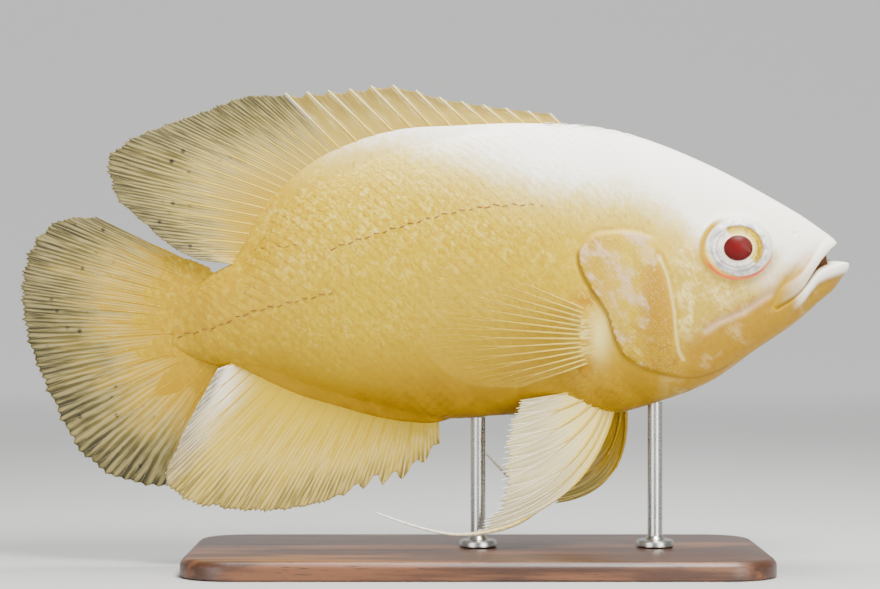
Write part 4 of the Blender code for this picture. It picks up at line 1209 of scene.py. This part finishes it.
class Fin:
    """A fin's surface: from its root to its edge, bowed and swayed."""

    def __init__(self, node, rays, root, edge, girth, sway=None, bow=None, spiny=False, branches=2,
                 jag=0.03, hard=0, ragged=0.0):
        self.node, self.rays, self.root, self.edge, self.girth = node, rays, root, edge, girth
        self.sway, self.bow, self.spiny, self.branches = sway, bow, spiny, branches
        self.jag, self.hard, self.ragged = jag, hard, ragged

    def point(self, share, v):
        """The middle of the web for a share along the base and v from root to edge."""
        start, end = self.root(share), self.edge(share)
        made = start + (end - start) * v[..., None]
        if self.bow is not None:
            made = made + np.stack(self.bow(share), axis=-1) * (4 * v * (1 - v))[..., None]
        if self.sway is not None:
            made[..., 1] += self.sway(share, v)
        return made

    def web(self, finish, rng):
        """The thin membrane as one closed sheet with a scalloped, frayed edge."""
        per_ray = 8 if self.rays > 12 else 12
        columns, rows = (self.rays - 1) * per_ray + 1, WEB_ROWS
        share = np.linspace(0.0, 1.0, columns)
        between = np.abs(np.sin(math.pi * share * (self.rays - 1)))
        lines = 1 if self.spiny else self.branches * 2
        closeness = np.abs(np.sin(math.pi * share * (self.rays - 1) * lines))
        notch = FIN_TRIM - self.jag * (between + closeness) / 2 - FRAY * rng.random(columns)
        notch = notch - self.ragged * (1 - soft(share, 0.16, 0.34)) * between ** 2
        v = np.linspace(0.0, 1.0, rows)[None, :] * notch[:, None]
        grid = self.point(np.repeat(share[:, None], rows, axis=1), v)
        normal = unit(np.cross(np.gradient(grid, axis=0), np.gradient(grid, axis=1)))
        half = (0.17 - 0.11 * v + 0.12 * np.exp(-v / 0.1))[..., None]
        verts = np.vstack([(grid + normal * half).reshape(-1, 3), (grid - normal * half).reshape(-1, 3)])
        back = columns * rows
        faces = grid_faces(columns, rows) + [f[::-1] for f in grid_faces(columns, rows, first=back)]
        rim = [c * rows for c in range(columns)] + [(columns - 1) * rows + r for r in range(1, rows)]
        rim += [c * rows + rows - 1 for c in range(columns - 2, -1, -1)] + list(range(rows - 2, 0, -1))
        faces += [(a, a + back, b + back, b) for a, b in zip(rim, rim[1:] + rim[:1])]
        marks = {
            "reach": np.tile(v.ravel(), 2),
            "share": np.tile(np.repeat(share, rows), 2),
            "between": np.tile(np.repeat(closeness, rows), 2),
        }
        made = make_mesh(self.node + "_web", verts, faces, marks)
        made.data.materials.append(finish)
        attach(made, "root")
        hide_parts(self.node)
        return made

    def strands(self):
        """The rays as paths in (share, v): each soft ray forks twice on its way out."""
        step = 1.0 / (self.rays - 1)
        for k in range(self.rays):
            share = k * step
            if self.spiny or k < self.hard:
                yield [(share, v) for v in np.linspace(0.0, 1.0, 14)], 1.35
                continue
            first, second = 0.42 + 0.06 * math.sin(3.7 * k), 0.72 + 0.05 * math.sin(2.3 * k)
            yield [(share, v) for v in np.linspace(0.0, first, 7)], 1.0
            spread = step * 0.25
            for way in (-1, 1):
                if not 0.0 <= share + way * spread <= 1.0:
                    continue
                v = np.linspace(first - 0.04, second, 7)
                yield list(zip(share + way * spread * soft(v, first - 0.06, 0.8), v)), 0.8
                v = np.linspace(second - 0.04, 1.0, 9)
                split = share + way * spread * soft(v, first - 0.06, 0.8)
                for fork in (-1, 1):
                    small = fork * step * 0.125 * soft(v, second - 0.05, 1.0)
                    yield list(zip(np.clip(split + small, 0.0, 1.0), v)), 0.62

    def ray_rods(self, tree, finish, rng):
        """All the rays of the fin as one mesh of tapering rods."""
        thick, thin = self.girth
        edges, paths = [], []
        for path, weight in self.strands():
            last = FIN_TRIM - (0.0 if self.spiny else FRAY * 1.5 * rng.random())
            for k, (share, v) in enumerate(path):
                v = min(v, last)
                paths.append((share, v, weight * (thick + (thin - thick) * v ** 0.75)))
                if k:
                    edges.append((len(paths) - 2, len(paths) - 1))
        share, reach, girth = np.array(paths).T
        marks = {"girth": girth * MM, "reach": reach, "share": share}
        base = base_points("paths", self.point(share, reach), edges, {}, marks)
        rods = grow(self.node + "_rays", base, tree, Sides=6, Finish=finish)
        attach(rods, "root")
        return rods


FIN_TRIM = 0.99
FRAY = 0.012
WEB_ROWS = 44
SPINY_EDGE = ((0.0, 37.4, 144.8), (0.25, 16.0, 147.6), (0.42, 1.6, 150.2), (0.58, -12.8, 154.0),
              (0.75, -26.9, 152.8), (1.0, -47.4, 151.4))
SOFT_EDGE = ((0.0, -48.0, 151.2), (0.12, -60.8, 150.8), (0.25, -72.6, 146.8), (0.4, -88.0, 141.3),
             (0.5, -98.0, 137.0), (0.57, -105.4, 131.0), (0.64, -104.2, 123.0), (0.71, -102.0, 117.5),
             (0.79, -93.5, 110.0), (0.87, -84.5, 102.4), (0.94, -75.5, 98.0), (1.0, -68.0, 97.0))
ANAL_EDGE = ((0.0, 2.4, 39.0), (0.06, -3.0, 32.4), (0.12, -11.0, 26.6), (0.2, -20.0, 24.8),
             (0.35, -37.0, 19.2), (0.5, -54.0, 16.8), (0.62, -68.0, 17.8), (0.72, -80.0, 20.8),
             (0.79, -85.6, 26.8), (0.87, -81.6, 38.0), (0.94, -75.6, 50.0), (1.0, -68.2, 63.2))
CAUDAL_EDGE = ((0.0, -109.0, 112.2), (0.1, -121.0, 111.4), (0.2, -129.5, 104.5), (0.3, -132.8, 95.6),
               (0.45, -133.4, 84.0), (0.6, -130.0, 67.0), (0.72, -123.0, 51.0), (0.83, -112.5, 33.5),
               (0.89, -103.0, 27.4), (0.94, -92.0, 24.6), (1.0, -75.0, 24.0))
CAUDAL_BASE = ((0.0, -69.5, 93.2), (0.25, -73.5, 85.0), (0.5, -75.0, 77.0), (0.75, -73.0, 69.5),
               (1.0, -67.5, 63.4))
PECTORAL_BASE = ((0.0, 48.4, 81.8), (0.5, 46.8, 73.6), (1.0, 49.2, 65.6))
PECTORAL_EDGE = ((0.0, 5.0, 100.0), (0.2, -5.0, 91.5), (0.45, -7.5, 78.5), (0.7, -0.5, 65.0),
                 (0.87, 12.0, 58.2), (1.0, 27.0, 57.6))
PELVIC_BASE = ((0.0, 57.4, 5.0, 51.0), (1.0, 50.4, 10.6, 57.0))
PELVIC_EDGE = ((0.0, 13.3, 11.5, 11.8), (0.12, 14.4, 12.2, 14.6), (0.3, 19.4, 12.8, 20.0),
               (0.5, 21.0, 13.4, 32.0), (0.75, 22.4, 14.2, 43.0), (1.0, 27.0, 14.6, 53.6))
FAR_BASE = ((0.0, 62.0, 5.0, 51.4), (1.0, 55.0, 10.6, 57.0))
FAR_EDGE = ((0.0, 38.2, 12.5, 18.8), (0.12, 36.2, 13.2, 21.4), (0.3, 31.8, 13.8, 26.6),
            (0.5, 30.2, 14.2, 34.0), (0.75, 30.4, 14.6, 44.0), (1.0, 33.0, 15.0, 53.6))
PELVIC_BOW = (7.2, -7.0)
FILAMENT = ((38.7, 7.9, 22.1), (32.3, 8.9, 18.0), (26.0, 10.0, 14.4), (18.6, 11.0, 12.2),
            (9.8, 11.8, 11.2), (1.8, 12.0, 11.9), (-8.4, 12.6, 14.7), (-18.0, 13.0, 18.2))
FAR_FILAMENT = ((36.2, 13.0, 19.6), (31.5, 13.6, 22.0), (24.6, 14.4, 27.4), (16.6, 15.0, 35.4))


def unpaired_fins():
    """The fins of back, belly and tail: each with its web and its rays."""
    dorsal = fin_paint("dorsal_web", FIN_BEIGE, FIN_CREAM, 0.95, 19, golden=YELLOW, flecks=0.9)
    return [
        (Fin("dorsal_fin_spiny", 13, ridge(42.5, -24.0, BACK, -2.0), flat(SPINY_EDGE), (0.5, 0.22),
             sway=lambda s, v: 0.8 * v * np.sin(5 * s), spiny=True, jag=0.06),
         fin_paint("spiny_web", FIN_BEIGE, FIN_BEIGE, 0.45, 13),
         ray_paint("dorsal_spines", SAND, FIN_WHITE), "fin_cream"),
        (Fin("dorsal_fin_soft", 19, ridge(-24.6, -62.0, BACK, -2.0), flat(SOFT_EDGE), (0.42, 0.12),
             sway=lambda s, v: -5.0 * s ** 2 * v + 0.8 * v * np.sin(5 + 9 * s)),
         dorsal, ray_paint("dorsal_rays", SAND, FIN_DUN), "fin_cream"),
        (Fin("anal_fin", 19, ridge(1.0, -62.5, BELLY, 2.0), flat(ANAL_EDGE), (0.42, 0.12),
             sway=lambda s, v: -9.5 * s ** 1.3 * v + 0.7 * v * np.sin(9 * s), hard=3, ragged=0.14),
         fin_paint("anal_web", LEMON, SAND, 0.75, 19, spread=0.6, corner=WHITE),
         ray_paint("anal_rays", LEMON, FIN_WHITE), "fin_gold"),
        (Fin("caudal_fin", 17, flat(CAUDAL_BASE), flat(CAUDAL_EDGE), (0.5, 0.12),
             sway=lambda s, v: 3.0 * v * v + 0.8 * v * np.sin(11 * s)),
         fin_paint("tail_web", YELLOW, FIN_CREAM, 0.95, 17, flecks=0.9, spread=0.52),
         ray_paint("tail_rays", YELLOW, FIN_DUN), "fin_gold"),
    ]


def paired_fins():
    """The pectoral and pelvic fins of both sides, in the same form."""
    made = []
    web = fin_paint("pectoral_web", SAND, LEMON, 0.0, 14, clear=0.05)
    ray = ray_paint("pectoral_rays", SAND, LEMON, fading=True)
    for side, word in SIDES:
        made.append((
            Fin("pectoral_fin_" + word, 14, off_flank(PECTORAL_BASE, side, -0.7),
                off_flank(PECTORAL_EDGE, side, 11.0), (0.42, 0.1),
                sway=lambda s, v, side=side: side * 1.6 * np.sin(math.pi * v) * np.sin(math.pi * s)),
            web, ray, "fin_pale"))
    paints = {
        -1: (fin_paint("pelvic_web", CREAM, FIN_WHITE, 0.5, 7, streak=FIN_CREAM),
             ray_paint("pelvic_rays", SAND, WHITE)),
        1: (fin_paint("far_pelvic_web", YELLOW, FIN_CREAM, 0.4, 7, streak=FIN_CREAM),
            ray_paint("far_pelvic_rays", YELLOW, CREAM)),
    }
    ends = {-1: (PELVIC_BASE, PELVIC_EDGE), 1: (FAR_BASE, FAR_EDGE)}
    for side, word in SIDES:
        base, edge = (sided(points, side) for points in ends[side])
        made.append((
            Fin("pelvic_fin_" + word, 7, base, edge, (0.7, 0.2), branches=4, jag=0.06,
                bow=lambda s: (PELVIC_BOW[0] * (1 - s), s * 0.0, PELVIC_BOW[1] * (1 - s))),
            *paints[side], "fin_white"))
    return made


def fins(shape, scatter, scale_finish):
    """Every fin with its web and rays, in its own colours, and the filaments and tail scales."""
    tree = ray_tree()
    rng = np.random.default_rng(11)
    made = unpaired_fins() + paired_fins()
    near_ray = made[-2][2]
    for (side, word), thread in zip(SIDES, (FILAMENT, FAR_FILAMENT)):
        pelvic_filament(word, side, thread, tree, near_ray)
    for fin, web, ray, slot in made:
        fin.web(web, rng)
        fin.ray_rods(tree, ray, rng)
    tongues = lambda s: 0.2 + 0.12 * np.sin(17.0 * s) ** 2 + 0.05 * np.sin(41.0 * s)
    fin_scales(made[3][0], shape, scatter, scale_finish, rng, tongues, 2.1)


def pelvic_filament(word, side, thread, tree, finish):
    """The long thread at the tip of a pelvic fin."""
    count = 40
    table = [(k, x, side * y, z) for k, (x, y, z) in enumerate(thread)]
    points = np.stack(rows_at(table, np.linspace(0.0, len(thread) - 1, count)), axis=1)
    girth = np.linspace(0.95, 0.3, count) * soft(np.arange(count), -6.0, 10.0)
    marks = {"girth": girth * MM, "reach": np.linspace(0.3, 1.0, count), "share": np.zeros(count)}
    base = base_points("thread", points, [(k, k + 1) for k in range(count - 1)], {}, marks)
    made = grow("filament_" + word, base, tree, Sides=8, Finish=finish)
    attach(made, "root")
    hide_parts("pelvic_filament_" + word)


# Eyes


def eye_grid(t, p, side, rise):
    """Points of an eye's surface at angles t from its front and p round it, lifted by rise."""
    x, z = EYE_RADII[0] * np.sin(t) * np.cos(p), EYE_RADII[2] * np.sin(t) * np.sin(p)
    return np.stack([x, side * (EYE_RADII[1] * np.cos(t) + rise), z], axis=-1)


def eyes():
    """Each eye: a painted ball with a recessed iris and a red lens, under a clear dome."""
    painted, clear = eye_paint(), cornea_paint()
    seen = EYE_SEEN[0] / EYE_RADII[0]
    theta = np.linspace(0.0, math.pi, BALL_RINGS + 1)[1:-1]
    t, p = np.meshgrid(theta, 2 * math.pi * np.arange(BALL_SIDES) / BALL_SIDES, indexing="ij")
    ring = np.where(t < math.pi / 2, np.sin(t) / seen, 2.0)
    iris = 1.1 * (1 - soft(ring, 0.76, 0.84)) + 0.25 * (1 - soft(ring, 0.47, 0.7))
    lens = 0.9 * np.sqrt(np.clip(1 - (ring / 0.47) ** 2, 0.0, 1.0))
    from_front = soft(np.cos(p - 0.65), -0.25, 0.7)
    marks = {"ring": np.append(ring, (0.0, 2.0)), "clock": np.append(from_front, (0.0, 0.0))}
    for side, word in SIDES:
        centre = np.array([EYE_PLACE[0], side * (flank_at_eye() - EYE_SUNK), EYE_PLACE[1]])
        verts = eye_grid(t, p, side, lens - iris).reshape(-1, 3)
        poles = [(0.0, side * (EYE_RADII[1] - 0.45), 0.0), (0.0, -side * EYE_RADII[1], 0.0)]
        faces = grid_faces(*t.shape, wrap=True) + cap_faces(*t.shape)
        ball = make_mesh("eye_ball_" + word, centre + np.vstack([verts, poles]), faces, marks)
        ball.data.materials.append(painted)
        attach(ball, "root")
        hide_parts("eye_" + word)
        dome = eye_dome("eye_dome_" + word, centre, side, seen)
        dome.data.materials.append(clear)
        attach(dome, "root")


def flank_at_eye():
    """Half width of the skin at the eye's middle, with the eye's own socket left out."""
    x, z = EYE_PLACE
    middle, half, width = section(x)
    back = (1 + (z - middle) / half) / 2
    pinch = graph(BACK_PINCH, x) * back + graph(BELLY_PINCH, x) * (1 - back)
    return float(width * math.sin(math.acos((z - middle) / half)) ** pinch) + 0.8


def eye_dome(name, centre, side, seen):
    """The clear cap over iris and pupil, a thin shell closed at its rim."""
    rings, sides = DOME_RINGS, DOME_SIDES
    theta = np.linspace(0.0, math.asin(0.86 * seen), rings + 1)[1:]
    t, p = np.meshgrid(theta, 2 * math.pi * np.arange(sides) / sides, indexing="ij")
    layers = [eye_grid(t, p, side, rise).reshape(-1, 3) for rise in DOME_LIFTS]
    poles = [(0.0, side * (EYE_RADII[1] + rise), 0.0) for rise in DOME_LIFTS]
    count = rings * sides
    faces = grid_faces(rings, sides, wrap=True) + grid_faces(rings, sides, wrap=True, first=count)
    last = count - sides
    for k in range(sides):
        after = (k + 1) % sides
        faces.append((k, after, 2 * count))
        faces.append((count + k, count + after, 2 * count + 1))
        faces.append((last + k, last + after, count + last + after, count + last + k))
    return make_mesh(name, centre + np.vstack([*layers, poles]), faces)


# The stand


# Profiles: how far in from the outline or from the axis, and how far from the bottom or the top
BASE_CORNER = 16.0
BASE_FOOT = ((0.5, 0.0), (0.0, 0.5))
BASE_EDGE = ((0.0, 2.2), (0.25, 1.4), (0.9, 0.55), (1.6, 0.15), (2.2, 0.0))
ROD_COLLAR = ((5.6, 0.0), (6.0, 0.3), (6.0, 1.5), (5.7, 2.1), (5.0, 2.4), (3.2, 2.4), (2.9, 3.0),
              (2.5, 3.4), (2.4, 4.0))
ROD_END = ((2.4, 4.0), (2.4, 0.2))
HARD_EDGE = math.radians(40.0)


def loft_rings(name, rings, count, finish):
    """A closed solid through rings of points, flat at both ends, with its hard edges kept."""
    verts = np.vstack(rings)
    faces = grid_faces(len(rings), count, wrap=True)
    faces.append(tuple(range(count - 1, -1, -1)))
    faces.append(tuple(range(len(verts) - count, len(verts))))
    made = make_mesh(name, verts, faces)
    bm = bmesh.new()
    bm.from_mesh(made.data)
    for edge in bm.edges:
        if len(edge.link_faces) == 2 and edge.calc_face_angle(0.0) > HARD_EDGE:
            edge.smooth = False
    bm.to_mesh(made.data)
    bm.free()
    made.data.materials.append(finish)
    return made


def stand():
    """The walnut base with its eased edges, and two turned steel rods with collars."""
    low, high = (np.array(corner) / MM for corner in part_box("stand_base"))
    middle, reach, height = (low + high) / 2, (high - low) / 2 - BASE_CORNER, high[2] - low[2]
    rings = []
    for inset, z in (*BASE_FOOT, *((inset, height - under) for inset, under in BASE_EDGE)):
        ring = []
        for k, (sx, sy) in enumerate(((1, 1), (-1, 1), (-1, -1), (1, -1))):
            for turn in math.pi / 2 * (k + np.arange(13) / 12):
                ring.append((
                    middle[0] + sx * reach[0] + (BASE_CORNER - inset) * math.cos(turn),
                    middle[1] + sy * reach[1] + (BASE_CORNER - inset) * math.sin(turn), z))
        rings.append(ring)
    base = loft_rings("walnut_base", rings, 52, walnut_paint())
    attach(base, "root")
    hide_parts("stand_base")
    steel = steel_paint()
    turns = 2 * math.pi * np.arange(48) / 48
    for word in ("front", "rear"):
        low, high = (np.array(corner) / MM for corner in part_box("stand_rod_" + word))
        x = (low[0] + high[0]) / 2
        profile = [(r, low[2] + up) for r, up in ROD_COLLAR]
        profile += [(r, high[2] - down) for r, down in ROD_END]
        rings = [np.stack([x + r * np.cos(turns), r * np.sin(turns), np.full(48, z)], axis=1)
                 for r, z in profile]
        rod = loft_rings("steel_rod_" + word, rings, 48, steel)
        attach(rod, "root")
        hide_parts("stand_rod_" + word)





# The studio


SWEEP_FRONT, SWEEP_START, SWEEP_BEND, SWEEP_SIDE, SWEEP_TOP = 2500.0, 1500.0, 900.0, 5000.0, 2600.0
FLOOR_GAP = 0.05
AIM = (0.0, 0.0, 90.0)
LAMPS = (
    ("key", (190.0, -360.0, 640.0), 330.0, 10.2, (1.0, 0.985, 0.96)),
    ("fill", (-460.0, -620.0, 200.0), 460.0, 2.8, (1.0, 0.99, 0.97)),
    ("front", (430.0, -620.0, 190.0), 380.0, 3.2, (1.0, 0.98, 0.95)),
    ("top", (60.0, 60.0, 700.0), 400.0, 8.0, (1.0, 1.0, 1.0)),
)
WORLD_LIGHT = ((1.0, 0.99, 0.97, 1.0), 0.25)
VIEW_PLACE = (2.24, -782.0, 86.8)
LENS, SENSOR = 100.0, 36.0


def sweep_paint():
    """The floor's plain grey, which glows softly towards the backdrop, past the lamps' reach."""
    paint = Paint("studio_pale", 0.85, Emission_Strength=1.0)
    y = paint.axes()[1]
    shade = srgb(176, 177, 176)
    paint.shader.inputs["Base Color"].default_value = (*shade, 1.0)
    far = paint.mix(y.rise(100.0, 1600.0), (0.0, 0.0, 0.0), (0.5, 0.505, 0.5))
    return paint.feed(Emission_Color=far)


def studio():
    """A pale floor that curves up into a far backdrop, and soft lights."""
    profile = [(-SWEEP_FRONT, -FLOOR_GAP), (SWEEP_START, -FLOOR_GAP)]
    for turn in np.linspace(0.1, 1.5, 14):
        up = SWEEP_BEND * (1 - math.cos(turn)) - FLOOR_GAP
        profile.append((SWEEP_START + SWEEP_BEND * math.sin(turn), up))
    profile.append((SWEEP_START + SWEEP_BEND, SWEEP_TOP))
    verts = [(x, y, z) for y, z in profile for x in (-SWEEP_SIDE, SWEEP_SIDE)]
    sweep = make_mesh("studio_sweep", verts, grid_faces(len(profile), 2))
    sweep.data.materials.append(sweep_paint())
    for name, place, size, power, colour in LAMPS:
        data = bpy.data.lights.new(name, "AREA")
        data.shape = "DISK"
        data.size = size * MM
        data.energy = power
        data.color = colour
        lamp = linked(name, data)
        lamp.location = Vector(place) * MM
        aim = Vector(AIM) * MM - lamp.location
        lamp.rotation_euler = aim.to_track_quat("-Z", "Y").to_euler()
    world = bpy.data.worlds.new("studio_air")
    world.use_nodes = True
    for socket, value in zip(world.node_tree.nodes["Background"].inputs, WORLD_LIGHT):
        socket.default_value = value
    bpy.context.scene.world = world


def camera():
    """The photo's view: level, square to the fish's right side, framed as the photo is."""
    data = bpy.data.cameras.new("view")
    data.lens = LENS
    data.sensor_width = SENSOR
    view = linked("view", data)
    view.location = Vector(VIEW_PLACE) * MM
    view.rotation_euler = Euler((math.pi / 2, 0.0, 0.0))
    bpy.context.scene.camera = view


def main():
    """Dress the whole model and set the studio round it."""
    skin = skin_paint("skin_lemon", False)
    scaled = skin_paint("scales_lemon", True)
    body_skin(skin)
    tree = scatter_tree()
    shape = scale_shape()
    body_scales(shape, tree, scaled)
    lateral_line(tree)
    fins(shape, tree, scaled)
    bpy.data.objects.remove(shape, do_unlink=True)
    eyes()
    stand()
    studio()
    camera()


main()
